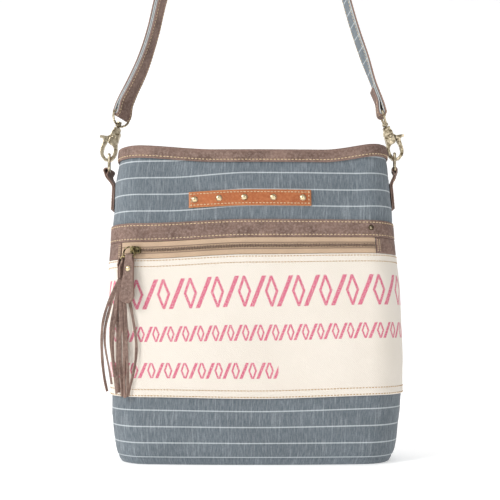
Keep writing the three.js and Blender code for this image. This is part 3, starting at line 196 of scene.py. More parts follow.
def striped_canvas():
    material, tree, shader = start_material("yarn_dyed_canvas", 0.92)
    shader.inputs["Sheen Weight"].default_value = 0.15
    shader.inputs["Sheen Roughness"].default_value = 0.5
    shader.inputs["Specular IOR Level"].default_value = 0.25
    uv = add(tree, "ShaderNodeUVMap", uv_map="cloth").outputs["UV"]
    streak_at = add(tree, "ShaderNodeMapping", {"Vector": uv, "Scale": STREAKS})
    streaks = add(tree, "ShaderNodeTexNoise", {"Vector": streak_at.outputs[0], "Scale": 1.0,
                                               "Detail": 2.0, "Roughness": 0.6})
    slub_at = add(tree, "ShaderNodeMapping", {"Vector": uv, "Scale": SLUBS})
    slubs = add(tree, "ShaderNodeTexNoise", {"Vector": slub_at.outputs[0], "Scale": 1.0, "Detail": 3.0})
    fleck_at = add(tree, "ShaderNodeMapping", {"Vector": uv, "Scale": FLECKS})
    flecks = add(tree, "ShaderNodeTexNoise", {"Vector": fleck_at.outputs[0], "Scale": 1.0, "Detail": 2.0})
    cloud = add(tree, "ShaderNodeTexNoise", {"Vector": uv, "Scale": CLOUDS, "Detail": 4.0})
    warp = add(tree, "ShaderNodeTexWave", {"Vector": uv, "Scale": WAVE_UNIT / THREAD},
               wave_type="BANDS", bands_direction="X")
    weft = add(tree, "ShaderNodeTexWave", {"Vector": uv, "Scale": WAVE_UNIT / THREAD},
               wave_type="BANDS", bands_direction="Y")
    spread = add(tree, "ShaderNodeMapRange", {"Value": streaks.outputs["Fac"], "From Min": 0.3,
                                              "From Max": 0.7})
    base = add(tree, "ShaderNodeMix", {0: spread.outputs[0], 6: hex_colour("#59636A"),
                                       7: hex_colour("#80888E")}, data_type="RGBA")
    pale = add(tree, "ShaderNodeMapRange", {"Value": slubs.outputs["Fac"], "From Min": 0.52,
                                            "From Max": 0.74, "To Max": 0.5})
    slubbed = add(tree, "ShaderNodeMix", {0: pale.outputs[0], 6: base.outputs[2],
                                          7: hex_colour("#A9AFB3")}, data_type="RGBA")
    deep = add(tree, "ShaderNodeMapRange", {"Value": flecks.outputs["Fac"], "From Min": 0.5,
                                            "From Max": 0.72, "To Max": 0.4})
    flecked = add(tree, "ShaderNodeMix", {0: deep.outputs[0], 6: slubbed.outputs[2],
                                          7: hex_colour("#545E68")}, data_type="RGBA")
    shade = add(tree, "ShaderNodeMapRange", {"Value": cloud.outputs["Fac"], "From Min": 0.3,
                                             "From Max": 0.7, "To Min": 0.9, "To Max": 1.08})
    toned = add(tree, "ShaderNodeVectorMath", {0: flecked.outputs[2], 3: shade.outputs[0]},
                operation="SCALE")
    height = add(tree, "ShaderNodeSeparateXYZ", {0: uv}).outputs["Y"]
    turns = add(tree, "ShaderNodeMath", {0: height, 1: STRIPE_PITCH}, operation="DIVIDE")
    shifted = add(tree, "ShaderNodeMath", {0: turns.outputs[0], 1: 0.5}, operation="ADD")
    part = add(tree, "ShaderNodeMath", {0: shifted.outputs[0]}, operation="FRACT")
    centred = add(tree, "ShaderNodeMath", {0: part.outputs[0], 1: 0.5}, operation="SUBTRACT")
    away = add(tree, "ShaderNodeMath", {0: centred.outputs[0]}, operation="ABSOLUTE")
    stripe = add(tree, "ShaderNodeMapRange", {"Value": away.outputs[0],
                                              "From Min": 0.5 * STRIPE_HALF / STRIPE_PITCH,
                                              "From Max": 1.5 * STRIPE_HALF / STRIPE_PITCH,
                                              "To Min": 0.75, "To Max": 0.0})
    worn = add(tree, "ShaderNodeMapRange", {"Value": streaks.outputs["Fac"], "From Min": 0.3,
                                            "From Max": 0.6, "To Min": 0.72, "To Max": 1.0})
    broken = add(tree, "ShaderNodeMath", {0: stripe.outputs[0], 1: worn.outputs[0]},
                 operation="MULTIPLY")
    striped = add(tree, "ShaderNodeMix", {0: broken.outputs[0], 6: toned.outputs[0],
                                          7: hex_colour("#D6DDE0")}, data_type="RGBA")
    rim = add(tree, "ShaderNodeAttribute", attribute_name="edge").outputs["Fac"]
    selvedge = add(tree, "ShaderNodeMix", {0: rim, 6: striped.outputs[2], 7: hex_colour("#D3D6D6")},
                   data_type="RGBA")
    tree.links.new(selvedge.outputs[2], shader.inputs["Base Color"])
    weave = add(tree, "ShaderNodeMath", {0: warp.outputs["Fac"], 1: weft.outputs["Fac"]},
                operation="MAXIMUM")
    relief = add(tree, "ShaderNodeMath", {0: streaks.outputs["Fac"], 1: weave.outputs[0]},
                 operation="ADD")
    bump = add(tree, "ShaderNodeBump", {"Height": relief.outputs[0], "Strength": 0.3,
                                        "Distance": 0.2 * MM})
    tree.links.new(bump.outputs[0], shader.inputs["Normal"])
    return material


yarn_canvas = striped_canvas()
print("made", yarn_canvas.name)

# %% [markdown]
# ## Cream duck canvas with a worn print
#
# The pocket panel is a heavier cream duck, woven so that its slanted ribs show. A red water
# based print sits on top of the threads and misses the hollows between them. The print here is
# a plain pattern of slanted bars and open diamonds in three rows of the same height, colour and
# wear. It is drawn from distances in the UV map, so its edges stay sharp at any size.

# %% Printed canvas
PRINT_ROWS = (
    # middle of the row, half its height, pitch, half a bar's width, from, to: millimetres
    {"middle": 173.5, "half": 15.5, "pitch": 27.0, "stroke": 2.2, "start": -170.0, "end": 163.0},
    {"middle": 132.0, "half": 8.0, "pitch": 15.0, "stroke": 1.5, "start": -170.0, "end": 164.0},
    {"middle": 94.0, "half": 8.0, "pitch": 17.0, "stroke": 1.6, "start": -170.0, "end": 22.0},
)
BAR_LEAN = 0.42
# a diamond's slope, its half width as a share of the pitch, and its line as a share of the stroke
DIAMOND_SLOPE, DIAMOND_SHARE, DIAMOND_LINE = 0.36, 0.2, 0.62
INK_EDGE = 0.35 * MM
# metres left of the front's middle from which the bars are counted
PRINT_ORIGIN = 10.0
# the ribs' width and slant, and how many threads and clouds fit in a metre: 1.4 by 1.1 and 71 mm
DUCK_RIB, DUCK_SLANT = 1.5 * MM, math.radians(38)
DUCK_THREADS, DUCK_CLOUDS = (700, 900, 1), 14.0


def print_mask(tree, across, up, row):
    """How much ink lies at a point, for one row: slanted bars with an open diamond between them."""
    fall = add(tree, "ShaderNodeMath", {0: up, 1: row["middle"] * MM}, operation="SUBTRACT")
    lean = add(tree, "ShaderNodeMath", {0: fall.outputs[0], 1: BAR_LEAN}, operation="MULTIPLY")
    along = add(tree, "ShaderNodeMath", {0: across, 1: lean.outputs[0]}, operation="SUBTRACT")
    pitch = row["pitch"] * MM

    def distance_from(value, offset):
        moved = add(tree, "ShaderNodeMath", {0: value, 1: offset}, operation="ADD")
        turns = add(tree, "ShaderNodeMath", {0: moved.outputs[0], 1: pitch}, operation="DIVIDE")
        part = add(tree, "ShaderNodeMath", {0: turns.outputs[0]}, operation="FRACT")
        middle = add(tree, "ShaderNodeMath", {0: part.outputs[0], 1: 0.5}, operation="SUBTRACT")
        size = add(tree, "ShaderNodeMath", {0: middle.outputs[0]}, operation="ABSOLUTE")
        return add(tree, "ShaderNodeMath", {0: size.outputs[0], 1: pitch}, operation="MULTIPLY")

    stroke = row["stroke"] * MM
    soft = INK_EDGE
    line = DIAMOND_LINE * stroke
    bar = add(tree, "ShaderNodeMapRange", {"Value": distance_from(along.outputs[0], PRINT_ORIGIN).outputs[0],
                                           "From Min": stroke - soft, "From Max": stroke + soft,
                                           "To Min": 1.0, "To Max": 0.0})
    side = distance_from(across, PRINT_ORIGIN + 0.5 * pitch)
    rise = add(tree, "ShaderNodeMath", {0: fall.outputs[0]}, operation="ABSOLUTE")
    wide = add(tree, "ShaderNodeMath", {0: rise.outputs[0], 1: DIAMOND_SLOPE}, operation="MULTIPLY")
    reach = add(tree, "ShaderNodeMath", {0: side.outputs[0], 1: wide.outputs[0]}, operation="ADD")
    shell = add(tree, "ShaderNodeMath", {0: reach.outputs[0], 1: DIAMOND_SHARE * pitch}, operation="SUBTRACT")
    shell_size = add(tree, "ShaderNodeMath", {0: shell.outputs[0]}, operation="ABSOLUTE")
    diamond = add(tree, "ShaderNodeMapRange", {"Value": shell_size.outputs[0],
                                               "From Min": line - soft, "From Max": line + soft,
                                               "To Min": 1.0, "To Max": 0.0})
    ink = add(tree, "ShaderNodeMath", {0: bar.outputs[0], 1: diamond.outputs[0]}, operation="MAXIMUM")
    inside = add(tree, "ShaderNodeMapRange", {"Value": rise.outputs[0],
                                              "From Min": row["half"] * MM - soft,
                                              "From Max": row["half"] * MM + soft,
                                              "To Min": 1.0, "To Max": 0.0})
    centre = (row["start"] + row["end"]) / 2 * MM
    length = (row["end"] - row["start"]) / 2 * MM
    far = add(tree, "ShaderNodeMath", {0: across, 1: centre}, operation="SUBTRACT")
    far_size = add(tree, "ShaderNodeMath", {0: far.outputs[0]}, operation="ABSOLUTE")
    within = add(tree, "ShaderNodeMapRange", {"Value": far_size.outputs[0], "From Min": length - soft,
                                              "From Max": length + soft, "To Min": 1.0, "To Max": 0.0})
    cut = add(tree, "ShaderNodeMath", {0: ink.outputs[0], 1: inside.outputs[0]}, operation="MULTIPLY")
    return add(tree, "ShaderNodeMath", {0: cut.outputs[0], 1: within.outputs[0]}, operation="MULTIPLY")


def printed_canvas():
    material, tree, shader = start_material("cream_duck_canvas", 0.95)
    shader.inputs["Sheen Weight"].default_value = 0.2
    uv = add(tree, "ShaderNodeUVMap", uv_map="cloth").outputs["UV"]
    place = add(tree, "ShaderNodeSeparateXYZ", {0: uv})
    rib_at = add(tree, "ShaderNodeMapping", {"Vector": uv, "Rotation": (0, 0, DUCK_SLANT)})
    ribs = add(tree, "ShaderNodeTexWave", {"Vector": rib_at.outputs[0], "Scale": WAVE_UNIT / DUCK_RIB,
                                           "Distortion": 1.5, "Detail": 2.0, "Detail Scale": 1.2})
    thread_at = add(tree, "ShaderNodeMapping", {"Vector": uv, "Scale": DUCK_THREADS})
    threads = add(tree, "ShaderNodeTexNoise", {"Vector": thread_at.outputs[0], "Scale": 1.0, "Detail": 2.0})
    cloud = add(tree, "ShaderNodeTexNoise", {"Vector": uv, "Scale": DUCK_CLOUDS, "Detail": 4.0})
    base = add(tree, "ShaderNodeMix", {0: cloud.outputs["Fac"], 6: hex_colour("#F5EEE4"),
                                       7: hex_colour("#E9E0D3")}, data_type="RGBA")
    hollow = add(tree, "ShaderNodeMapRange", {"Value": ribs.outputs["Fac"], "To Min": 0.2, "To Max": 0.0})
    woven = add(tree, "ShaderNodeMix", {0: hollow.outputs[0], 6: base.outputs[2],
                                        7: hex_colour("#CFC3B2")}, data_type="RGBA")
    masks = [print_mask(tree, place.outputs["X"], place.outputs["Y"], row) for row in PRINT_ROWS]
    ink = masks[0]
    for mask in masks[1:]:
        ink = add(tree, "ShaderNodeMath", {0: ink.outputs[0], 1: mask.outputs[0]}, operation="MAXIMUM")
    wear = add(tree, "ShaderNodeMapRange", {"Value": threads.outputs["Fac"], "From Min": 0.3,
                                            "From Max": 0.55, "To Min": 0.45, "To Max": 0.95})
    laid = add(tree, "ShaderNodeMath", {0: ink.outputs[0], 1: wear.outputs[0]}, operation="MULTIPLY")
    printed = add(tree, "ShaderNodeMix", {0: laid.outputs[0], 6: woven.outputs[2],
                                          7: hex_colour("#D5527A")}, data_type="RGBA")
    tree.links.new(printed.outputs[2], shader.inputs["Base Color"])
    relief = add(tree, "ShaderNodeMath", {0: ribs.outputs["Fac"], 1: threads.outputs["Fac"]},
                 operation="ADD")
    bump = add(tree, "ShaderNodeBump", {"Height": relief.outputs[0], "Strength": 0.55,
                                        "Distance": 0.3 * MM})
    tree.links.new(bump.outputs[0], shader.inputs["Normal"])
    return material


duck_canvas = printed_canvas()
print("made", duck_canvas.name, "with", len(PRINT_ROWS), "printed rows")

# %% [markdown]
# ## Leather
#
# Two hides are used. The trim is a matt nubuck, brown-grey with a short nap, and the patch is
# a smooth vegetable-tanned hide whose cut edges have been burnished lighter. One function makes
# both, from a pore pattern about a millimetre across and slower clouds of colour. An attribute
# named edge, which each leather piece carries, says how near a cut edge is.

# %% Two leathers
PORE = 1.1 * MM
# how many fit in a metre: nap 2.4 mm long and clouds 24 mm across
NAP, HIDE_CLOUDS = 420.0, 42.0


def leather(name, dark, middle, light, edge, roughness, relief_depth):
    material, tree, shader = start_material(name, roughness)
    shader.inputs["Specular IOR Level"].default_value = 0.35
    place = add(tree, "ShaderNodeTexCoord").outputs["Object"]
    pores = add(tree, "ShaderNodeTexVoronoi", {"Vector": place, "Scale": 1 / PORE, "Randomness": 1.0},
                feature="F1")
    nap = add(tree, "ShaderNodeTexNoise", {"Vector": place, "Scale": NAP, "Detail": 5.0,
                                           "Roughness": 0.7})
    cloud = add(tree, "ShaderNodeTexNoise", {"Vector": place, "Scale": HIDE_CLOUDS, "Detail": 4.0,
                                             "Roughness": 0.6})
    slow = add(tree, "ShaderNodeMapRange", {"Value": cloud.outputs["Fac"], "From Min": 0.32,
                                            "From Max": 0.68})
    base = add(tree, "ShaderNodeMix", {0: slow.outputs[0], 6: hex_colour(dark),
                                       7: hex_colour(middle)}, data_type="RGBA")
    fine = add(tree, "ShaderNodeMapRange", {"Value": nap.outputs["Fac"], "From Min": 0.42,
                                            "From Max": 0.75, "To Max": 0.7})
    brushed = add(tree, "ShaderNodeMix", {0: fine.outputs[0], 6: base.outputs[2],
                                          7: hex_colour(light)}, data_type="RGBA")
    rub = add(tree, "ShaderNodeAttribute", attribute_name="edge").outputs["Fac"]
    worn = add(tree, "ShaderNodeMix", {0: rub, 6: brushed.outputs[2], 7: hex_colour(edge)},
               data_type="RGBA")
    tree.links.new(worn.outputs[2], shader.inputs["Base Color"])
    relief = add(tree, "ShaderNodeMath", {0: pores.outputs["Distance"], 1: nap.outputs["Fac"]},
                 operation="ADD")
    bump = add(tree, "ShaderNodeBump", {"Height": relief.outputs[0], "Strength": 0.45,
                                        "Distance": relief_depth})
    tree.links.new(bump.outputs[0], shader.inputs["Normal"])
    return material


nubuck = leather("brown_nubuck", "#5F4A42", "#876E63", "#AD968A", "#9B8074", 0.78, 0.25 * MM)
tanned_hide = leather("vegetable_tanned_hide", "#9F5732", "#B5693E", "#CB875A", "#D99A66", 0.5, 0.12 * MM)
print("made", nubuck.name, "and", tanned_hide.name)

# %% [markdown]
# ## Zip tape, thread and brass
#
# The zip's tape is a herringbone polyester, khaki and a little shiny, with a brown line woven
# beside each row of teeth. The sewing thread is a waxed cotton, tan or ochre, whose twist is far
# too fine to see, so it only gets a soft variation. The fittings are cast brass with an antique
# patina: dark in the hollows and rubbed bright where hands touch it. The small rivets are the
# same metal, polished and lacquered.

# %% Zip tape and thread
TAPE_LINE = 3.1 * MM
TAPE_CHEVRON = 2.6 * MM
TAPE_RIB = 1.2 * MM
# clouds 17 mm across on the tape, and a twist about 1 mm long in the thread
TAPE_CLOUDS, TWISTS = 60.0, 900.0


def zip_cloth():
    material, tree, shader = start_material("herringbone_tape", 0.8)
    uv = add(tree, "ShaderNodeUVMap", uv_map="cloth").outputs["UV"]
    place = add(tree, "ShaderNodeSeparateXYZ", {0: uv})
    rows = add(tree, "ShaderNodeMath", {0: place.outputs["Y"], 1: TAPE_CHEVRON}, operation="PINGPONG")
    slant = add(tree, "ShaderNodeMath", {0: place.outputs["X"], 1: rows.outputs[0]}, operation="ADD")
    folded = add(tree, "ShaderNodeCombineXYZ", {0: slant.outputs[0]})
    ribs = add(tree, "ShaderNodeTexWave", {"Vector": folded.outputs[0], "Scale": WAVE_UNIT / TAPE_RIB})
    cloud = add(tree, "ShaderNodeTexNoise", {"Vector": uv, "Scale": TAPE_CLOUDS, "Detail": 3.0})
    base = add(tree, "ShaderNodeMix", {0: ribs.outputs["Fac"], 6: hex_colour("#B89A80"),
                                       7: hex_colour("#D6BC9F")}, data_type="RGBA")
    shade = add(tree, "ShaderNodeMapRange", {"Value": cloud.outputs["Fac"], "To Min": 0.85, "To Max": 1.1})
    toned = add(tree, "ShaderNodeVectorMath", {0: base.outputs[2], 3: shade.outputs[0]}, operation="SCALE")
    off = add(tree, "ShaderNodeMath", {0: place.outputs["Y"], 1: ZIP_LEVEL * MM}, operation="SUBTRACT")
    away = add(tree, "ShaderNodeMath", {0: off.outputs[0]}, operation="ABSOLUTE")
    from_line = add(tree, "ShaderNodeMath", {0: away.outputs[0], 1: TAPE_LINE}, operation="SUBTRACT")
    near = add(tree, "ShaderNodeMath", {0: from_line.outputs[0]}, operation="ABSOLUTE")
    line = add(tree, "ShaderNodeMapRange", {"Value": near.outputs[0], "From Min": 0.3 * MM,
                                            "From Max": 0.75 * MM, "To Min": 0.85, "To Max": 0.0})
    lined = add(tree, "ShaderNodeMix", {0: line.outputs[0], 6: toned.outputs[0],
                                        7: hex_colour("#7A6455")}, data_type="RGBA")
    tree.links.new(lined.outputs[2], shader.inputs["Base Color"])
    bump = add(tree, "ShaderNodeBump", {"Height": ribs.outputs["Fac"], "Strength": 0.5,
                                        "Distance": 0.2 * MM})
    tree.links.new(bump.outputs[0], shader.inputs["Normal"])
    return material


def waxed_thread(name, dark, light):
    material, tree, shader = start_material(name, 0.6)
    place = add(tree, "ShaderNodeTexCoord").outputs["Object"]
    twist = add(tree, "ShaderNodeTexNoise", {"Vector": place, "Scale": TWISTS, "Detail": 2.0})
    base = add(tree, "ShaderNodeMix", {0: twist.outputs["Fac"], 6: hex_colour(dark),
                                       7: hex_colour(light)}, data_type="RGBA")
    tree.links.new(base.outputs[2], shader.inputs["Base Color"])
    return material


herringbone = zip_cloth()
tan_thread = waxed_thread("waxed_tan_thread", "#C6A880", "#E6D2AE")
cream_thread = waxed_thread("waxed_ochre_thread", "#A98355", "#CBAA78")
print("made", herringbone.name, tan_thread.name, cream_thread.name)

# %% Brass, aged and polished
# stains 4 mm across, and how near a neighbour has to be to keep a hollow dark
STAINS, HOLLOW_REACH = 260.0, 3.5 * MM


def brass(name, dark, light, roughness, patina, hollow):
    """hollow is how much of the black patina stays where a finger or a cloth can't reach."""
    material, tree, shader = start_material(name, roughness, metallic=1.0)
    place = add(tree, "ShaderNodeTexCoord").outputs["Object"]
    stain = add(tree, "ShaderNodeTexNoise", {"Vector": place, "Scale": STAINS, "Detail": 5.0,
                                             "Roughness": 0.65})
    spread = add(tree, "ShaderNodeMapRange", {"Value": stain.outputs["Fac"], "From Min": 0.5 - patina,
                                              "From Max": 0.5 + patina})
    base = add(tree, "ShaderNodeMix", {0: spread.outputs[0], 6: hex_colour(dark), 7: hex_colour(light)},
               data_type="RGBA")
    open_to = add(tree, "ShaderNodeAmbientOcclusion", {"Distance": HOLLOW_REACH}, samples=8, only_local=True)
    shut = add(tree, "ShaderNodeMapRange", {"Value": open_to.outputs["AO"], "From Min": 0.35,
                                            "From Max": 0.92, "To Min": hollow, "To Max": 0.0})
    patinated = add(tree, "ShaderNodeMix", {0: shut.outputs[0], 6: base.outputs[2],
                                            7: hex_colour("#2B241C")}, data_type="RGBA")
    tree.links.new(patinated.outputs[2], shader.inputs["Base Color"])
    dull = add(tree, "ShaderNodeMapRange", {"Value": stain.outputs["Fac"], "From Min": 0.35,
                                            "From Max": 0.7, "To Min": roughness + 0.14,
                                            "To Max": roughness - 0.06})
    tree.links.new(dull.outputs[0], shader.inputs["Roughness"])
    bump = add(tree, "ShaderNodeBump", {"Height": stain.outputs["Fac"], "Strength": 0.2,
                                        "Distance": 0.1 * MM})
    tree.links.new(bump.outputs[0], shader.inputs["Normal"])
    return material


antique_brass = brass("antique_cast_brass", "#63553D", "#F2E4C6", 0.27, 0.14, 1.0)
bright_brass = brass("lacquered_brass", "#D8BE88", "#F6E9C8", 0.24, 0.3, 0.5)
# a dark brass that only the stud's foot takes, so a dark ring shows round its narrower head
dark_brass = brass("dark_stud_foot_brass", "#3B3128", "#6B5A48", 0.36, 0.25, 0.8)
tooth_metal = brass("brown_zip_metal", "#7A675C", "#A08C7E", 0.42, 0.25, 0.3)
black_brass = brass("blackened_cast_brass", "#1F1A14", "#BFB080", 0.3, 0.09, 1.0)
print("made", antique_brass.name, bright_brass.name, dark_brass.name, tooth_metal.name, black_brass.name)

# %% [markdown]
# ## The bag's own shape
#
# Everything sewn to the bag lies on one surface. It is given by a place round the bag and a
# height in millimetres up the cloth. Places run from -5 to 5: the front is from -1 to 1, the
# right side is at 2.5, the left one at -2.5, and the back's middle is at both ends. Each height
# has its own rounded rectangle, and the table below says how wide, deep and round it is. These
# are the CAD's own numbers, so cloth made here sits where the solids are.

# %% The table of levels
BAG_HEIGHT = 316.0
HALF_WIDTH = 153.0
HALF_DEPTH = 46.0
FACE_CROWN = 4.0
CANVAS_WALL = 2.0
GAP = 0.3
# up, sink and lift are shares of the height, left and right of the half width, deep of the half
# depth, and corner of that level's own depth
COLUMNS = ("up", "left", "right", "deep", "corner", "sink", "lift")
LEVELS = np.array([
    (0.0, 0.915, 0.912, 0.93, 0.8, 0, 0),
    (0.016, 0.935, 0.932, 0.97, 0.8, 0, 0),
    (0.038, 0.946, 0.95, 0.985, 0.8, 0, 0),
    (0.066, 0.956, 0.962, 1.0, 0.82, -0.001, 0.001),
    (0.111, 0.972, 0.972, 1.0, 0.84, -0.002, 0.005),
    (0.149, 0.984, 0.985, 1.0, 0.88, -0.004, 0.009),
    (0.212, 0.981, 0.999, 0.99, 0.9, -0.005, 0.012),
    (0.345, 0.987, 0.999, 0.97, 0.9, 0.002, 0.01),
    (0.475, 0.992, 0.988, 0.95, 0.9, 0.008, 0.008),
    (0.579, 0.994, 0.978, 0.93, 0.9, 0.012, 0.006),
    (0.668, 0.992, 0.955, 0.905, 0.9, 0.014, 0.005),
    (0.725, 0.983, 0.944, 0.88, 0.9, 0.014, 0.001),
    (0.782, 0.977, 0.937, 0.86, 0.9, 0.011, -0.001),
    (0.83, 0.97, 0.936, 0.84, 0.9, 0.011, -0.001),
    (0.88, 0.964, 0.928, 0.81, 0.9, 0.012, -0.001),
    (0.921, 0.96, 0.918, 0.78, 0.9, 0.012, -0.001),
    (0.962, 0.934, 0.902, 0.75, 0.9, 0, 0),
    (1.0, 0.93, 0.895, 0.73, 0.9, 0, 0),
])
DENTS = (
    # face, across, up, wide, tall, deep: as shares of the bag's half width, height and half depth
    (-1, 0.12, 0.36, 0.38, 0.16, 0.06),
    (-1, -0.55, 0.85, 0.28, 0.06, 0.07),
    (-1, 0.62, 0.88, 0.26, 0.06, 0.08),
    (-1, -0.7, 0.13, 0.24, 0.07, -0.04),
    (-1, 0.66, 0.2, 0.28, 0.1, -0.05),
    (1, -0.1, 0.62, 0.42, 0.2, 0.12),
    (1, 0.4, 0.3, 0.3, 0.12, -0.05),
)
RISE_FROM, RISE_FULL = 0.93, 0.962
RIM_ENDS = {
    # how far each end of the rim stands above its middle, and the shares between which it climbs
    "left": (0.017, 0.25, 0.9),
    "right": (0.027, 0.5, 1.0),
}
print(len(LEVELS), "levels")

# %% The rule for a point of the cloth


def smooth(t):
    t = np.clip(t, 0, 1)
    return t * t * (3 - 2 * t)


def level_sizes(level):
    """The rounded rectangle at each height, in millimetres."""
    up = np.clip(np.asarray(level, float) / BAG_HEIGHT, 0, 1)
    row = {name: np.interp(up, LEVELS[:, 0], LEVELS[:, k]) for k, name in enumerate(COLUMNS)}
    left, right = row["left"] * HALF_WIDTH, row["right"] * HALF_WIDTH
    row["half_depth"] = row["deep"] * HALF_DEPTH
    row["radius"] = row["corner"] * row["half_depth"]
    row["half_width"] = (left + right) / 2
    row["centre"] = (right - left) / 2
    row["flat_x"] = row["half_width"] - row["radius"]
    row["flat_y"] = row["half_depth"] - row["radius"]
    return row


def skin(around, level, out=0.0):
    """Points of the cloth and the way each faces, as arrays of millimetres."""
    around, level, out = np.broadcast_arrays(*[np.asarray(v, float) for v in (around, level, out)])
    a = np.where(around < -1, around + 10, around)
    s = level_sizes(level)
    c, r, fx, fy = s["centre"], s["radius"], s["flat_x"], s["flat_y"]
    hw, hd = s["half_width"], s["half_depth"]
    quarter = (a % 1) * math.pi / 2
    whole = (a == np.floor(a)) & (a > 1)
    quarter = np.where(whole & np.isin(a, (2, 4, 7, 9)), math.pi / 2, quarter)
    sn, cs = np.sin(quarter), np.cos(quarter)
    b = 5 - a
    kinds = [a <= 1, a <= 2, a <= 3, a <= 4, a <= 6, a <= 7, a <= 8]
    x = np.select(kinds, [c + a * fx, c + fx + r * sn, c + hw, c + fx + r * cs, c + b * fx,
                          c - fx - r * sn, c - hw], c - fx - r * cs)
    y = np.select(kinds, [-hd - FACE_CROWN * (1 - a * a), -fy - r * cs, fy * (2 * (a - 2) - 1),
                          fy + r * sn, hd + FACE_CROWN * (1 - b * b), fy + r * cs,
                          fy * (1 - 2 * (a - 7))], -fy - r * sn)
    nx = np.select(kinds, [0 * a, sn, 0 * a + 1, cs, 0 * a, -sn, 0 * a - 1], -cs)
    ny = np.select(kinds, [0 * a - 1, -cs, 0 * a, sn, 0 * a + 1, cs, 0 * a], -sn)
    share = (x - c) / hw
    up = level / BAG_HEIGHT
    depth = 0 * a
    for face, across, middle, wide, tall, deep in DENTS:
        side = np.maximum(0, face * ny)
        depth = depth + side * deep * HALF_DEPTH * np.exp(
            -((share - across) / wide) ** 2 - ((up - middle) / tall) ** 2)
    move = out - depth
    rise = smooth((up - RISE_FROM) / (RISE_FULL - RISE_FROM))
    climb = 0 * share
    for side, (height, start, full) in zip((-1, 1), RIM_ENDS.values()):
        climb = climb + height * smooth((side * share - start) / (full - start))
    drop = s["sink"] * smooth(-share / 0.75) - s["lift"] * smooth(share / 0.9)
    z = level + BAG_HEIGHT * (climb * rise - drop)
    return np.stack([x + nx * move, y + ny * move, z], -1), np.stack([nx, ny, 0 * nx], -1)


def around_at(across, level):
    """Which place round the front lies at a distance across, in millimetres."""
    s = level_sizes(level)
    off = across - s["centre"]
    into = np.minimum(np.maximum(np.abs(off) - s["flat_x"], 0) / s["radius"], 1)
    return np.where(np.abs(off) <= s["flat_x"], off / s["flat_x"],
                    np.sign(off) * (1 + np.arcsin(into) / (math.pi / 2)))


print("front centre at half height:", skin(0.0, BAG_HEIGHT / 2)[0].round(1))

# %% [markdown]
# ## Meshes from rows of points
#
# Nearly every soft piece is a grid: columns of points, where each column runs round the piece's
# thickness and closes on itself. One function turns such a grid into a closed mesh, makes its
# faces point outwards, and stores two things that the materials need: the UV map, in metres
# along the cloth, and the attribute edge.

# %% One function for grids


def stands_for(piece, node):
    """Says which CAD node the piece replaces."""
    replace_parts(piece, node)
    return piece


def dress(mesh, material, node, body="bag"):
    """Makes a piece with its mesh's name, gives it its finish and sets it in place of a CAD node."""
    piece = bpy.data.objects.new(mesh.name, mesh)
    bpy.context.scene.collection.objects.link(piece)
    mesh.materials.clear()
    mesh.materials.append(material)
    mesh.shade_smooth()
    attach(piece, body)
    return stands_for(piece, node)


def signed_volume(points, faces):
    total = 0.0
    for face in faces:
        a, b, c = points[face[:, 0]], points[face[:, 1]], points[face[:, 2]]
        total += np.einsum("ij,ij->", a, np.cross(b, c))
        if face.shape[1] == 4:
            d = points[face[:, 3]]
            total += np.einsum("ij,ij->", a, np.cross(c, d))
    return total


def grid_mesh(name, points, uv, edge=None, closed=False):
    """A closed mesh from columns of points in millimetres.

    uv has one more row than points, and one more column if the columns close on themselves.
    """
    columns, rows = points.shape[:2]
    spans = columns if closed else columns - 1
    i, k = np.meshgrid(np.arange(spans), np.arange(rows), indexing="ij")
    i2, k2 = (i + 1) % columns, (k + 1) % rows
    quads = np.stack([i * rows + k, i2 * rows + k, i2 * rows + k2, i * rows + k2], -1).reshape(-1, 4)
    corners = np.stack([uv[i, k], uv[i + 1, k], uv[i + 1, k + 1], uv[i, k + 1]], -2).reshape(-1, 2)
    caps = []
    if not closed:
        for column, turn in ((0, 1), (columns - 1, -1)):
            half = rows // 2
            low, high = np.arange(half - 1), rows - 1 - np.arange(half - 1)
            cap = np.stack([low, low + 1, high - 1, high], -1)[:, ::turn] + column * rows
            caps.append(cap)
            corners = np.concatenate([corners, uv[column, cap - column * rows].reshape(-1, 2)])
    faces = np.concatenate([quads, *caps])
    flat = points.reshape(-1, 3)
    if signed_volume(flat - flat.mean(0), [faces]) < 0:
        faces = faces[:, ::-1]
        corners = corners.reshape(-1, 4, 2)[:, ::-1].reshape(-1, 2)
    mesh = bpy.data.meshes.new(name)
    placed = flat * MM + np.array((0, 0, BASE))
    mesh.from_pydata(placed.tolist(), [], faces.tolist())
    layer = mesh.uv_layers.new(name="cloth")
    layer.data.foreach_set("uv", (corners * MM).astype(np.float32).ravel())
    attribute = mesh.attributes.new("edge", "FLOAT", "POINT")
    worn = np.zeros((columns, rows)) if edge is None else np.broadcast_to(edge, (columns, rows))
    attribute.data.foreach_set("value", worn.astype(np.float32).ravel())
    return mesh


def weld(mesh):
    """Merges points that lie together, such as those in the middle of the base."""
    shape = bmesh.new()
    shape.from_mesh(mesh)
    bmesh.ops.remove_doubles(shape, verts=shape.verts, dist=1e-6)
    shape.to_mesh(mesh)
    shape.free()
    return mesh


def shares(start, end, step):
    """Even values from start to end, about a step apart."""
    count = max(2, int(round(abs(end - start) / step)) + 1)
    return np.linspace(start, end, count)


print("grid helper ready")

# %% Places round the bag and distance along the cloth
COLUMN_STEP = 2.4
BACK = 5.0
# from, to and rough length in millimetres: a corner, a side, a corner and half of the back
HALF_ROUND = ((1, 2, 64.0), (2, 3, 14.0), (3, 4, 64.0), (4, 5, 109.0))
SPANS = [(-end, -start, length) for start, end, length in HALF_ROUND[::-1]]
SPANS += [(-1, 1, 218.0), *HALF_ROUND]


def ring_places(step=COLUMN_STEP):
    """Places round the whole bag, about a step apart, each counted once."""
    parts = [np.linspace(start, end, max(3, int(length / step)) + 1)[:-1] for start, end, length in SPANS]
    return np.concatenate(parts)


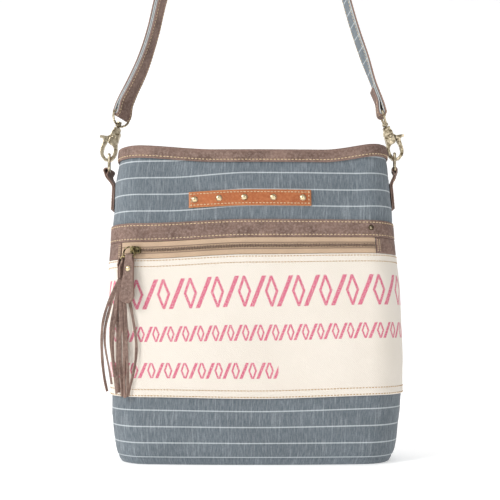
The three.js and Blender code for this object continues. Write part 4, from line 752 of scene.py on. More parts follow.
PLACES = ring_places()
ROUND = skin(np.append(PLACES, BACK), BAG_HEIGHT / 2)[0]
RUN = np.concatenate([[0], np.cumsum(np.linalg.norm(np.diff(ROUND, axis=0), axis=1))])
FRONT_CENTRE = np.interp(0.0, np.append(PLACES, BACK), RUN)


def cloth_run(around):
    """Distance along the cloth from the middle of the front, in millimetres."""
    a = np.asarray(around, float)
    return np.interp(np.where(a > BACK, a - 2 * BACK, a), np.append(PLACES, BACK), RUN) - FRONT_CENTRE


print("round the bag:", round(RUN[-1]), "mm in", len(PLACES), "columns")

# %% [markdown]
# ## Seams pull, cloth puckers
#
# Where a row of stitches holds two layers, the cloth is drawn in along the row and ripples
# beside it. Between seams it swells and falls in slow, shallow waves. Both are worked out
# from the distance along the cloth and the distance from the seam, with noise from a fixed
# field, so that the same bag is made each time.

# %% Waves and puckers


def field(across, up, size, seed):
    """Smooth noise between about -1 and 1 on the cloth, from a fixed field."""
    flat = zip(np.ravel(across), np.ravel(up))
    values = [noise.noise(Vector((a / size, b / size, seed))) for a, b in flat]
    return np.reshape(values, np.shape(across))


def pucker(run, distance, depth, reach=4.5, wave=8.5, seed=3.0):
    """Ripples that stand on a seam and die away from it."""
    drift = field(run, 0 * run, 30.0, seed) * 5.0
    strength = 0.6 + 0.4 * field(run, 0 * run, 45.0, seed + 9)
    ripple = np.sin((run + drift) * 2 * math.pi / wave)
    return depth * strength * ripple * np.exp(-np.maximum(distance, 0) / reach)


sample = pucker(np.arange(0.0, 40.0, 8.0), 0.0, 0.4)
print("puckers at a seam:", sample.round(2))

# %% [markdown]
# ## The canvas body
#
# The body is an open bag with a two millimetre wall: out and up from the middle of the base,
# over the rim and down the inside. A cloth simulation would lose the shape that the CAD gives,
# so the wall is lofted and its folds are added to the points. The stripes belong to the cloth
# and not to the seams: they hang a little lower at the left end, and the seams cut across them.

# %% Canvas body
# below and above the panel: a stripe's height, how far apart they are there, and its number
STRIPES_LOW = (53.4, 15.8, 3.0)
STRIPES_HIGH = (259.7, 17.0, 16.0)
STRIPES_SINK = 4.6
STRIPES_CENTRE, STRIPES_HALF = -2.0, 145.0
BASE_CLOSE = 2.6
BASE_GROOVE = 5.4


def stripe_height(points, level):
    """Where each point lies on the striped cloth, in millimetres of cloth as it was woven."""
    share = (points[..., 0] - STRIPES_CENTRE) / STRIPES_HALF
    sag = STRIPES_SINK * smooth(-share / 0.6) - 1.5 * smooth((share - 0.7) / 0.3)
    above = np.where(level > BAND_TOP, points[..., 2] + sag, level)
    above = above - BASE_CLOSE * smooth((14 - level) / 10)
    low = STRIPES_LOW[2] + (above - STRIPES_LOW[0]) / STRIPES_LOW[1]
    high = STRIPES_HIGH[2] + (above - STRIPES_HIGH[0]) / STRIPES_HIGH[1]
    return STRIPE_APART * np.where(above > 150, high, low)


def canvas_swell(around, level):
    """How far the bare cloth stands out from the plain shape, in millimetres."""
    run = cloth_run(around)
    swell = 0.9 * field(run, level * 1.6, 52.0, 1.0) + 0.35 * field(run, level, 17.0, 2.0)
    folds = 1.1 * np.maximum(0, field(run + 0.5 * level, 0.35 * level, 26.0, 7.0)) ** 2
    under = smooth((level - PANEL_BOTTOM + 4) / 3) * smooth((BAND_TOP + 3 - level) / 3)
    rim = smooth((BINDING_EDGE - level) / 6)
    base = smooth(level / 14)
    free = (1 - under) * rim * base
    seams = -pucker(run, np.abs(level - PANEL_BOTTOM), 0.35, seed=3.0) * (level < PANEL_BOTTOM - 0.5)
    seams = seams + pucker(run, level - BAND_TOP, 0.35, seed=4.0) * (level > BAND_TOP + 0.5)
    seams = seams + pucker(run, BINDING_EDGE - level, 0.4, wave=10.0, seed=5.0) * (level < BINDING_EDGE)
    groove = -0.9 * np.exp(-((level - BASE_GROOVE) / 1.0) ** 2)
    return (swell + folds) * free - 0.3 * (1 - rim) * (1 - under) + seams * base * rim + groove


def canvas_body():
    outer = np.concatenate([shares(0.0, 9.0, 0.9), shares(11.4, 66.0, 2.4), shares(75.0, 246.0, 9.0),
                            shares(248.4, 304.5, 2.4), shares(308.0, 316.0, 4.0)])
    inner = shares(BAG_HEIGHT, 6.0, 6.0)
    floor = np.array((0.96, 0.5, 0.0))
    around = PLACES[:, None]
    swell = canvas_swell(*np.broadcast_arrays(around, outer[None]))
    outside = skin(around, outer[None], swell)[0]
    inside = skin(around, inner[None], -CANVAS_WALL)[0]
    under = skin(around, 0.0)[0] * floor[None, ::-1, None]
    above = inside[:, -1:] * floor[None, :, None]
    above[..., 2] = CANVAS_WALL
    points = np.concatenate([under, outside, inside, above], 1)
    level = np.concatenate([-20.0 - 40.0 * (1 - floor[::-1]), outer, inner, np.full(3, -20.0)])
    level = np.broadcast_to(level, points.shape[:2])
    height = stripe_height(points, level)
    height = np.pad(height, ((0, 1), (0, 1)), mode="wrap")
    run = cloth_run(np.append(PLACES, PLACES[0]))
    run[-1] = run[0] + RUN[-1]
    uv = np.stack([np.broadcast_to(run[:, None], height.shape), height], -1)
    return weld(grid_mesh("canvas_shell", points, uv, closed=True))


shell = dress(canvas_body(), yarn_canvas, "canvas_body")
print("canvas shell:", len(shell.data.polygons), "faces")

# %% [markdown]
# ## Layers sewn to the bag
#
# The cream panel, the leather band, the patch, the zip's tape and its end tabs are all the same
# thing: a layer of a known thickness lying on the cloth. Its section goes up the inner face and
# comes back down the outer one, and its cut edges are rounded over a millimetre and a half.
# Rows of stitches press a shallow channel into it.

# %% One function for a sewn layer


def eased(start, end, step, scale=1.0):
    """Places from start to end, close together at both, and the share of the thickness at each."""
    near = np.array((0.0, 0.3, 0.8, 1.6)) * scale
    rise = np.array((0.35, 0.78, 0.96, 1.0))
    middle = shares(start + 3 * scale, end - 3 * scale, step)
    places = np.concatenate([start + near, middle, (end - near)[::-1]])
    return places, np.concatenate([rise, np.ones(len(middle)), rise[::-1]])


def channels(value, rows, depth=0.35, wide=0.9):
    """The dip that rows of stitches press into a layer."""
    return -depth * sum(np.exp(-((value - row) / wide) ** 2) for row in rows)


def sewn_layer(name, around, low, high, inside, thick, step, relief, ends=None, slope=None):
    """A layer between two heights. ends gives each column's share of the thickness where it is open."""
    level, full = eased(low, high, step)
    column = around[:, None]
    tilt = 0 if slope is None else slope(around)[:, None]
    ending = 1.0 if ends is None else ends[:, None]
    inner = skin(column, level[None] + tilt, inside)[0]
    run = np.broadcast_to(cloth_run(around)[:, None], (len(around), len(level)))
    raised = inside + thick * np.minimum(full[None], ending) + relief(run, level[None] + 0 * run)
    outer = skin(column, level[None] + tilt, raised)[0][:, ::-1]
    points = np.concatenate([inner, outer], 1)
    height = np.concatenate([level, level[::-1], level[:1]])
    edge = 1 - np.minimum(full[None], ending) ** 3 * np.ones((len(around), 1))
    edge = np.concatenate([0 * edge, edge[:, ::-1]], 1)
    runs = cloth_run(around)
    if ends is None:
        runs = np.append(runs, runs[0] + RUN[-1])
    uv = np.stack(np.broadcast_arrays(runs[:, None], height[None]), -1)
    return grid_mesh(name, points, uv, edge, closed=ends is None)


print("layer helper ready")

# %% The cream pocket panel
PANEL_THICK = 1.4
PANEL_ROWS = (PANEL_BOTTOM + 1.6, PANEL_BOTTOM + 8.0, PANEL_TOP - 2.0, PANEL_TOP - 8.0)


def panel_relief(run, level):
    """Long slow waves, channels at the four rows of stitches and puckers at both seams."""
    inside = smooth((level - PANEL_BOTTOM) / 14) * smooth((PANEL_TOP - level) / 14)
    waves = 0.55 * field(run, level * 1.4, 60.0, 11.0) + 0.2 * field(run, level, 20.0, 12.0)
    low = pucker(run, level - PANEL_BOTTOM, 0.28, reach=7.0, seed=13.0)
    high = pucker(run, PANEL_TOP - level, 0.25, reach=7.0, seed=14.0)
    return waves * inside + low + high + channels(level, PANEL_ROWS, 0.3) + 0.25


panel = dress(sewn_layer("cream_pocket", PLACES, PANEL_BOTTOM, PANEL_TOP, GAP, PANEL_THICK, 2.6,
                         panel_relief), duck_canvas, "cream_panel")
print("cream panel:", len(panel.data.polygons), "faces")

# %% The leather band above the zip
HIDE = 1.4
BAND_ROWS = (BAND_BOTTOM + 2.4, BAND_TOP - 2.4)


def band_relief(run, level):
    return 0.22 * field(run, level, 24.0, 21.0) + channels(level, BAND_ROWS, 0.4, 0.8) + 0.15


band = dress(sewn_layer("band_hide", PLACES, BAND_BOTTOM, BAND_TOP, GAP, HIDE, 1.5, band_relief),
             nubuck, "leather_band")
print("band:", len(band.data.polygons), "faces")

# %% The binding folded over the rim
BINDING_ROW = BINDING_EDGE + 2.4


def binding():
    """A strip of hide folded over the rim: inside face, fold, outside face."""
    outside, inside = GAP + HIDE, -CANVAS_WALL - GAP - HIDE
    run = cloth_run(PLACES)[:, None]
    fold = np.radians(np.linspace(180, 0, 9))[None, 1:-1]
    centre, half = (outside + inside) / 2, (outside - inside) / 2
    down, full = eased(BINDING_EDGE, BAG_HEIGHT - 0.4, 1.3)
    wave = 0.3 * field(run + 0 * down, down[None] + 0 * run, 14.0, 31.0)
    puff = 0.45 * np.sin(math.pi * np.clip((down - BINDING_EDGE - 2) / 10.5, 0, 1))
    press = channels(down, (BINDING_ROW,), 0.45, 0.8)
    out_rows = outside - HIDE * (1 - full) + puff + press + wave * full
    parts = [
        (np.array((BINDING_EDGE, BAG_HEIGHT, BAG_HEIGHT, BINDING_EDGE)),
         np.array((GAP, GAP, -CANVAS_WALL - GAP, -CANVAS_WALL - GAP)), np.array((0, GAP, GAP, 0))),
        (shares(BINDING_EDGE, BAG_HEIGHT, 2.9), inside, 0.0),
        (BAG_HEIGHT + 0 * fold[0], centre + half * np.cos(fold[0]), outside * np.sin(fold[0])),
        (down[::-1], out_rows[:, ::-1], 0.0),
    ]
    rows = []
    for level, out, above in parts:
        place = skin(PLACES[:, None], level[None], np.broadcast_to(out, (len(PLACES), len(level))))[0]
        place[..., 2] += above
        rows.append(place)
    points = np.concatenate(rows, 1)
    side = np.cumsum(np.linalg.norm(np.diff(points[0], axis=0, append=points[0][:1]), axis=1))
    runs = np.append(run[:, 0], run[0, 0] + RUN[-1])
    uv = np.stack(np.broadcast_arrays(runs[:, None], np.append(0, side)[None]), -1)
    worn = np.zeros(points.shape[:2])
    worn[:, -len(down):] = (1 - full[::-1] ** 3) * 0.8
    return grid_mesh("rim_hide", points, uv, worn, closed=True)


rim = dress(binding(), nubuck, "rim_binding")
print("binding:", len(rim.data.polygons), "faces")

# %% The tan patch
PATCH_WIDTH, PATCH_HEIGHT, PATCH_CENTRE = 123.5, 16.4, -5.5
PATCH_LEVEL = BAND_TOP + 13.8 + PATCH_HEIGHT / 2
PATCH_SLOPE = math.tan(math.radians(-0.1))
PATCH_SEAT = 0.5
# how far the patch's rows of stitches lie from its middle, up and across
PATCH_ROW, PATCH_END_ROW = 5.7, 59.2
PATCH_FROM, PATCH_TO = (float(around_at(PATCH_CENTRE + s * PATCH_WIDTH / 2, PATCH_LEVEL)) for s in (-1, 1))
PATCH_FLAT = float(level_sizes(PATCH_LEVEL)["flat_x"])


def patch_tilt(around):
    return (around - (PATCH_FROM + PATCH_TO) / 2) * PATCH_FLAT * PATCH_SLOPE


def patch_relief(run, level):
    rows = channels(level, (PATCH_LEVEL - PATCH_ROW, PATCH_LEVEL + PATCH_ROW), 0.35, 0.8)
    ends = channels(run, (PATCH_CENTRE - PATCH_END_ROW, PATCH_CENTRE + PATCH_END_ROW), 0.3, 0.8)
    return rows + ends + 0.12 * field(run, level, 15.0, 41.0)


patch_places, patch_full = eased(PATCH_FROM, PATCH_TO, 1.4 / PATCH_FLAT, 1 / PATCH_FLAT)
patch = dress(sewn_layer("tan_hide_patch", patch_places, PATCH_LEVEL - PATCH_HEIGHT / 2,
                         PATCH_LEVEL + PATCH_HEIGHT / 2, PATCH_SEAT, HIDE, 1.1, patch_relief,
                         ends=patch_full, slope=patch_tilt), tanned_hide, "front_patch")
print("patch:", len(patch.data.polygons), "faces")

# %% The zip's tape and its two leather ends
TAPE_THICK = 1.0
# where each hide end starts and stops, as places round the bag
ZIP_ENDS = {"left": (-1.38, -1.85), "right": (1.22, 1.85)}


def tape_relief(run, level):
    return channels(level, (ZIP_LEVEL,), 0.25, 3.0) + 0.1 * field(run, level, 18.0, 51.0)


tape_places, tape_full = eased(ZIP_ENDS["left"][0], ZIP_ENDS["right"][0], 0.02, 0.01)
dress(sewn_layer("zip_cloth_tape", tape_places, PANEL_TOP + GAP, BAND_BOTTOM - GAP, GAP,
                 TAPE_THICK, 1.2, tape_relief, ends=tape_full), herringbone, "zip_tape")


def end_relief(run, level):
    return 0.18 * field(run, level, 8.0, 61.0) + 0.1


for side, (inner, outer) in ZIP_ENDS.items():
    start, stop = sorted((inner + math.copysign(0.012, outer), outer))
    places, full = eased(start, stop, 0.02, 0.014)
    dress(sewn_layer("zip_end_hide_" + side, places, PANEL_TOP + GAP, BAND_BOTTOM - GAP, GAP,
                     HIDE, 1.2, end_relief, ends=full), nubuck, "zip_end_" + side)
print("the zip's tape runs between", cloth_run(tape_places[[0, -1]]).round().tolist(), "mm")

# %% [markdown]
# ## Straps and strips
#
# The strap, the side tabs, the zip's pull and the tassel are strips of hide or canvas that bend
# along a path. Each needs, at every step, a place, the way its face looks and the way its width
# runs. One function sweeps a section with rounded edges along those steps.

# %% One function for a strip


def unit(v):
    return v / np.linalg.norm(v, axis=-1, keepdims=True)


def strip_mesh(name, places, outs, widths, half, low, high, pattern=1.0, step=2.0):
    """A strip from low to high along outs.

    half may change along it, and pattern scales its length in the UV map.
    """
    half = np.broadcast_to(half, (len(places),)).astype(float)
    nominal = float(half.max())
    across, full = eased(-nominal, nominal, step, min(1.0, nominal / 4))
    share = across / nominal
    middle = (low + high) / 2
    top = middle + (high - middle) * full
    bottom = middle + (low - middle) * full
    w = np.concatenate([share, share[::-1]])
    t = np.concatenate([bottom, top[::-1]])
    reach = w[None] * half[:, None]
    points = (places[:, None] + widths[:, None] * reach[..., None]
              + outs[:, None] * t[None, :, None])
    run = np.append(0, np.cumsum(np.linalg.norm(np.diff(places, axis=0), axis=1))) * pattern
    closing = np.append(w, w[0])
    uv = np.stack(np.broadcast_arrays(closing[None] * half[:, None], run[:, None]), -1)
    edge = np.concatenate([1 - full ** 3, (1 - full ** 3)[::-1]])[None] * np.ones((len(places), 1))
    return grid_mesh(name, points, uv, edge)


def smooth_path(knots, per_span=30):
    """A centripetal curve through knots, the same that the CAD uses for the strap."""
    knots = np.asarray(knots, float)
    padded = np.concatenate([[2 * knots[0] - knots[1]], knots, [2 * knots[-1] - knots[-2]]])
    made = []
    for i in range(len(knots) - 1):
        p0, p1, p2, p3 = padded[i:i + 4]
        d0, d1, d2 = (max(np.linalg.norm(b - a), 1e-9) ** 0.5 for a, b in ((p0, p1), (p1, p2), (p2, p3)))
        t1 = ((p1 - p0) / d0 - (p2 - p0) / (d0 + d1) + (p2 - p1) / d1) * d1
        t2 = ((p2 - p1) / d1 - (p3 - p1) / (d1 + d2) + (p3 - p2) / d2) * d1
        t = np.linspace(0, 1, per_span, endpoint=False)[:, None]
        made.append(p1 + t1 * t + (3 * (p2 - p1) - 2 * t1 - t2) * t ** 2 + (2 * (p1 - p2) + t1 + t2) * t ** 3)
    made.append(knots[-1:])
    return np.concatenate(made)


def even(path, count):
    """A path's points at even distances."""
    run = np.append(0, np.cumsum(np.linalg.norm(np.diff(path, axis=0), axis=1)))
    at = np.linspace(0, run[-1], count)
    return np.stack([np.interp(at, run, path[:, k]) for k in range(3)], -1)


print("strip helper ready")

# %% Where the two clasps are
ENDS = {
    # side: which way is outwards. across, up: the pin of the clasp's lever. around: the side tab's
    # place round the bag. twists: the strap's turn in degrees, at shares of its rise. leg: at other
    # shares of the rise, how far out the strap stands, as a share of its reach at the clasp
    "left": {"side": -1, "across": -149.0, "up": 338.8, "around": -2.5,
             "twists": ((0, 34), (0.1, 20), (0.25, 13), (0.6, 12), (1.1, 0)),
             "leg": ((0.065, 0.94), (0.16, 0.843), (0.27, 0.764), (0.375, 0.709), (0.7, 0.51))},
    "right": {"side": 1, "across": 142.0, "up": 339.7, "around": 2.5,
              "twists": ((0, -6), (0.09, -3), (0.2, 8), (0.6, 9), (1.1, 0)),
              "leg": ((0.085, 0.927), (0.16, 0.866), (0.268, 0.779), (0.375, 0.706), (0.7, 0.51))},
}
CLASP_TILT = math.radians(17.5)
EYE_BAR = 26.0
EYE_WIRE = 1.3
UP = np.array((0.0, 0.0, 1.0))
FRONT = np.array((0.0, -1.0, 0.0))


def clasp_point(end, out, up):
    """A point of a clasp, given out from its axis and up along it, for either end."""
    x = end["across"] + end["side"] * (out * math.cos(CLASP_TILT) - up * math.sin(CLASP_TILT))
    return np.array((x, 0.0, end["up"] + out * math.sin(CLASP_TILT) + up * math.cos(CLASP_TILT)))


def clasp_axis(end):
    return np.array((-end["side"] * math.sin(CLASP_TILT), 0.0, math.cos(CLASP_TILT)))


EYE_BARS = {name: clasp_point(end, 0, EYE_BAR) for name, end in ENDS.items()}
STRAP_FOOT = min(bar[2] for bar in EYE_BARS.values())
print("strap starts at", round(STRAP_FOOT, 1), "mm up")

# %% The strap's path
STRAP_RISE = 321.0
TOP_RADIUS = 45.0
TOP_CENTRE = STRAP_FOOT + STRAP_RISE
STRAP_HIDE, STRAP_CLOTH = 1.6, 1.2
STRAP_THICK = STRAP_HIDE + GAP + STRAP_CLOTH
PLY_RADIUS = EYE_WIRE + GAP + STRAP_THICK / 2
PLY_APART = STRAP_THICK + 0.5
END_TAB, RETURN = 26.0, 178.0


def strap_faces(end, along, up):
    """Which way the strap's inner face looks and its width runs, where it goes along a direction."""
    flat = unit(np.array((-end["side"] * along[2], 0.0, end["side"] * along[0])))
    if flat[0] * end["side"] > 0:
        flat = -flat
    rows = end["twists"]
    share = (up - STRAP_FOOT) / STRAP_RISE
    turn = 0.0
    for (low, a), (high, b) in zip(rows, rows[1:]):
        if share < high:
            turn = a + (b - a) * smooth((share - low) / (high - low))
            break
    c, s = math.cos(math.radians(turn)), math.sin(math.radians(turn))
    return flat * c + FRONT * s, -FRONT * c + flat * s


def main_run(count=300):
    """The strap's single run from the right eye over the top to the left eye."""
    knots = []
    for name in ("right", "left"):
        end, bar = ENDS[name], EYE_BARS[name]
        start = bar - strap_faces(end, clasp_axis(end), bar[2])[0] * PLY_RADIUS
        leg = [start, start + clasp_axis(end) * 9]
        reach = abs(bar[0]) + PLY_RADIUS
        leg += [np.array((end["side"] * out * reach, 0, bar[2] + up * STRAP_RISE)) for up, out in end["leg"]]
        for angle in np.radians((16, 40, 65)):
            leg.append(np.array((end["side"] * TOP_RADIUS * math.cos(angle), 0,
                                 TOP_CENTRE + TOP_RADIUS * math.sin(angle))))
        knots += leg + [np.array((0, 0, TOP_CENTRE + TOP_RADIUS))] if name == "right" else leg[::-1]
    places = even(smooth_path(knots), count)
    along = unit(np.gradient(places, axis=0))
    frames = []
    for k, place in enumerate(places):
        end = ENDS["right" if place[0] > 0 else "left"]
        at_end = k in (0, count - 1)
        heading = clasp_axis(end) if at_end else along[k] * end["side"]
        eye = EYE_BARS["right" if place[0] > 0 else "left"]
        frames.append((place, *strap_faces(end, heading, eye[2] if at_end else place[2])))
    return frames


MAIN = main_run()
print("strap's top at", round(max(f[0][2] for f in MAIN), 1), "mm up")

# %% The strap's frames, round both eyes and back


def turn_round(end, bar):
    """Round the eye's bar, from the main run to the ply that comes back."""
    axis = clasp_axis(end)
    inward, width = strap_faces(end, axis, bar[2])
    frames = []
    for a in np.radians(np.arange(18, 180, 18)):
        out = -inward * math.cos(a) - axis * math.sin(a)
        frames.append((bar + out * PLY_RADIUS, out, width))
    return frames


def returned(frames, length):
    """The ply that lies on the inner face of the main run for a length."""
    back = []
    run = 0.0
    for k, (place, inward, width) in enumerate(frames):
        if run >= length:
            break
        if k:
            run += np.linalg.norm(place - frames[k - 1][0])
        apart = 2 * PLY_RADIUS + (PLY_APART - 2 * PLY_RADIUS) * smooth(run / 16)
        back.append((place + inward * apart, inward, width))
    return back


FRAMES = (returned(MAIN, END_TAB)[::-1] + turn_round(ENDS["right"], EYE_BARS["right"])[::-1]
          + [(place, -inward, width) for place, inward, width in MAIN]
          + turn_round(ENDS["left"], EYE_BARS["left"]) + returned(MAIN[::-1], RETURN))
strap_places, strap_outs, strap_widths = (np.array([f[k] for f in FRAMES]) for k in range(3))
strap_length = np.linalg.norm(np.diff(strap_places, axis=0), axis=1).sum()
print("strap:", round(strap_length), "mm of hide and canvas")

# %% The strap's two layers
STRAP_HALF = 10.0
STRAP_STITCH = STRAP_HALF - 2.2
# how far apart the stripes are along the strap
STRAP_STRIPES = 13.5

hide = dress(strip_mesh("strap_hide", strap_places, strap_outs, strap_widths, STRAP_HALF,
                        STRAP_THICK / 2 - STRAP_HIDE, STRAP_THICK / 2, step=1.8),
             nubuck, "strap_leather")
cloth = dress(strip_mesh("strap_cloth", strap_places, strap_outs, strap_widths, STRAP_HALF,
                         -STRAP_THICK / 2, -STRAP_THICK / 2 + STRAP_CLOTH,
                         pattern=STRIPE_APART / STRAP_STRIPES, step=1.8),
              yarn_canvas, "strap_canvas")
print("strap:", len(hide.data.polygons) + len(cloth.data.polygons), "faces")

# %% The leather tabs on the sides
TAB_HALF, TAB_LENGTH = 9.2, 41.0
TAB_STITCH = TAB_HALF - 2.2
RING_WIRE = 1.65
# a side ring hangs 10.5 degrees turned: this much across for each unit back
RING_TURN = 0.185


def ring_box(side):
    """The side ring's middle, in millimetres up from the base, from the CAD."""
    low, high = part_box("side_ring_" + side)
    middle = (low + high) / 2
    return np.array((middle.x, middle.y, middle.z - BASE)) / MM, (high - low) / MM


def ring_way(side_share):
    """Which way a side ring's width runs: it hangs a little turned, with its edge to the front."""
    return unit(np.array((side_share * RING_TURN, 1.0, 0.0)))


def side_tab(side):
    """A strip folded over the ring's lower bar, its two plies sewn to the bag's side."""
    end = ENDS[side]
    centre, size = ring_box(side)
    bar_out, bar_up = abs(centre[0]), centre[2] - size.z / 2 + RING_WIRE
    eye = RING_WIRE + GAP
    level = np.linspace(0, BAG_HEIGHT, 200)
    wall = skin(end["around"], level)[0]
    up = np.linspace(bar_up - TAB_LENGTH, bar_up - 4, 22)
    at_side = np.abs(np.interp(up, wall[:, 2], wall[:, 0])) + GAP
    near = smooth((bar_up - up - 4) / 14)
    lie = np.maximum(np.maximum(bar_out - eye * 0.6, at_side) * (1 - near) + at_side * near, at_side)
    arc = np.radians(np.linspace(180, 0, 15))
    curl = np.stack([np.cos(arc), 0 * arc, np.sin(arc)], -1)
    bar = np.array((bar_out, 0, bar_up))
    flat = np.array((1.0, 0, 0))
    inner = np.stack([lie + HIDE, 0 * up, up], -1)
    outer = np.stack([lie + HIDE + GAP, 0 * up, up], -1)[::-1]
    places = np.concatenate([inner, bar + curl * eye, outer])
    turned = smooth((places[:, 2:] - bar_up + 18) / 12)
    widths = unit((1 - turned) * np.array((0.0, 1.0, 0.0)) + turned * ring_way(1))
    outs = np.concatenate([-flat + 0 * inner, curl, flat + 0 * outer])
    outs = unit(outs - widths * (outs * widths).sum(-1, keepdims=True))
    mirror = np.array((end["side"], 1, 1))
    tab = strip_mesh("side_tab_hide_" + side, places * mirror, outs * mirror, widths, TAB_HALF, 0.0, HIDE,
                     step=1.4)
    return tab, (outer * mirror, flat * mirror)


SIDE_PLIES = {}
for side in ENDS:
    mesh, SIDE_PLIES[side] = side_tab(side)
    dress(mesh, nubuck, "side_tab_" + side)
print("side tabs hang from", [round(ring_box(s)[0][2], 1) for s in ENDS])

# %% [markdown]
# ## Wire rings
#
# The side rings, the slider's D ring and the small ring that carries the tassel are brass wire
# bent round and brazed shut. Each is a round section swept along a closed loop.

# %% Round wire along a loop


def wire_mesh(name, loop, normal, radius, sides=14):
    """Round wire along a closed loop that lies in one plane."""
    loop = np.asarray(loop, float)
    along = unit(np.roll(loop, -1, 0) - np.roll(loop, 1, 0))
    across = unit(np.cross(along, normal))
    angle = np.linspace(0, 2 * math.pi, sides, endpoint=False)
    points = (loop[:, None] + across[:, None] * (radius * np.cos(angle))[None, :, None]
              + np.asarray(normal)[None, None] * (radius * np.sin(angle))[None, :, None])
    uv = np.zeros((len(loop) + 1, sides + 1, 2))
    return grid_mesh(name, points, uv, closed=True)


def rounded_loop(half_a, half_b, corner, dir_a, dir_b, centre, steps=10):
    points = []
    for a, b, start in ((1, 1, 0), (-1, 1, 90), (-1, -1, 180), (1, -1, 270)):
        for angle in np.radians(start + np.linspace(0, 90, steps)):
            points.append(centre + dir_a * (a * (half_a - corner) + corner * math.cos(angle))
                          + dir_b * (b * (half_b - corner) + corner * math.sin(angle)))
    return np.array(points)


for side in ENDS:
    centre, size = ring_box(side)
    way = ring_way(ENDS[side]["side"])
    loop = rounded_loop(size.y / 2 - RING_WIRE, size.z / 2 - RING_WIRE, 3.0, way, UP, centre)
    dress(wire_mesh("side_ring_wire_" + side, loop, np.cross(way, UP), RING_WIRE),
          antique_brass, "side_ring_" + side)
print("side rings:", [round(v, 1) for v in ring_box("left")[1]], "mm")

# %% The slider's D ring and the tassel's small ring
PULL_TURN = math.radians(25)
ALONG = np.array((math.cos(PULL_TURN), -math.sin(PULL_TURN), 0.0))
OUT = np.array((-math.sin(PULL_TURN), -math.cos(PULL_TURN), 0.0))
PULL_WIRE, BAR_HALF, BAR_CORNER, PULL_DROP = 0.75, 5.2, 1.2, 9.8
LINK_RADIUS, LINK_WIRE = 3.2, 0.6
D_RADIUS = BAR_HALF + BAR_CORNER
LINK_ANGLE = math.radians(50)
SLIDER_OUT = GAP + TAPE_THICK + GAP
SLIDER_ACROSS, SLIDER_HALF, SLIDER_THICK = -119.8, 5.25, 3.2
# where the slider's staple holds the D ring, and how far it stands off the slider
STAPLE_ACROSS, STAPLE_ROOM = -126.6, 2.0


def bar_centre():
    """The middle of the D ring's bar, from where the slider's staple holds the ring."""
    seat = skin(around_at(SLIDER_ACROSS, ZIP_LEVEL), ZIP_LEVEL, SLIDER_OUT)[0]
    along = D_RADIUS * math.sin(LINK_ANGLE)
    x = STAPLE_ACROSS + along * ALONG[0]
    face = skin(around_at(x, ZIP_LEVEL), ZIP_LEVEL, SLIDER_OUT + SLIDER_THICK)[0]
    held = np.array((x, face[1] - PULL_WIRE - STAPLE_ROOM, seat[2] + 0.6))
    return held - ALONG * along - UP * (PULL_DROP - D_RADIUS + D_RADIUS * math.cos(LINK_ANGLE))


BAR = bar_centre()
corner = np.radians(np.linspace(0, 90, 7))
low_side = [(BAR_HALF + BAR_CORNER * math.sin(a), BAR_CORNER * (1 - math.cos(a))) for a in corner]
arch = [(D_RADIUS * math.sin(a), PULL_DROP - D_RADIUS * (1 - math.cos(a)))
        for a in np.radians(np.linspace(90, -90, 22))]
outline = [(-x, z) for x, z in low_side[::-1]] + low_side + arch
loop = np.array([BAR + ALONG * x + UP * z for x, z in outline])
dress(wire_mesh("pull_ring_wire", loop, OUT, PULL_WIRE), black_brass, "pull_ring")

DOWN_LEFT = unit(-ALONG - UP)
CORNER_WIRE = BAR - ALONG * BAR_HALF + UP * BAR_CORNER + DOWN_LEFT * BAR_CORNER
LINK_CENTRE = CORNER_WIRE + DOWN_LEFT * (LINK_RADIUS - LINK_WIRE - PULL_WIRE - GAP)
turns = np.linspace(0, 2 * math.pi, 30, endpoint=False)
loop = np.array([LINK_CENTRE + LINK_RADIUS * (DOWN_LEFT * math.cos(a) + OUT * math.sin(a)) for a in turns])
dress(wire_mesh("tassel_ring_wire", loop, unit(np.cross(DOWN_LEFT, OUT)), LINK_WIRE),
      black_brass, "tassel_ring")
print("D ring's bar at", BAR.round(1))

# %% [markdown]
# ## The zip's pull and the tassel
#
# The pull is one strip of hide folded over the D ring's bar and riveted, narrow at the bar and
# round at its end. The tassel is a folded head with loose strips below it, each of which hangs
# in its own way in front of the panel.

# %% The leather pull
TAB_LONG, TAB_NECK, TAB_EYE, TAB_END = 47.0, 10.6, 8.4, 8.2
TAB_LEAN = math.radians(7)
# how far below the bar the eye ends and the body starts to widen
EYE_DROP, NECK_DROP = 2.6, 6.5


def fold_path(eye, ply, length, count=26):
    """Half of a folded strip's middle line, from its end up to the top of the eye, as offset and height."""
    neck = 2.4 * (eye + ply)
    up = np.linspace(-length, 0, count)
    t = np.clip(1 + up / neck, 0, 1)
    offset = (GAP + ply) / 2 + (eye - GAP / 2) * (1 - (1 - t) ** 2)
    return offset, up


def pull_half(up):
    """The pull's half width at a height below the bar."""
    end = -TAB_LONG + TAB_END
    t = np.clip((-up - NECK_DROP) / (-end - NECK_DROP), 0, 1)
    body = TAB_NECK / 2 + (TAB_END - TAB_NECK / 2) * t ** 1.6
    widening = smooth((-up - EYE_DROP) / (NECK_DROP - EYE_DROP))
    body = np.where(up > -NECK_DROP, TAB_EYE / 2 + (TAB_NECK - TAB_EYE) / 2 * widening, body)
    tip = np.sqrt(np.maximum(TAB_END ** 2 - np.minimum(up - end, 0) ** 2, 0.09))
    return np.where(up < end, tip, body)


def pull_place(points):
    """From the pull's own axes, along the bar, into the bag and up, to its place."""
    c, s = math.cos(-TAB_LEAN), math.sin(-TAB_LEAN)
    x, y, z = points[..., 0] + (BAR_HALF - TAB_EYE / 2) * 0.85, points[..., 1], points[..., 2]
    y, z = y * c - z * s, y * s + z * c
    return BAR + ALONG * x[..., None] - OUT * y[..., None] + UP * z[..., None]


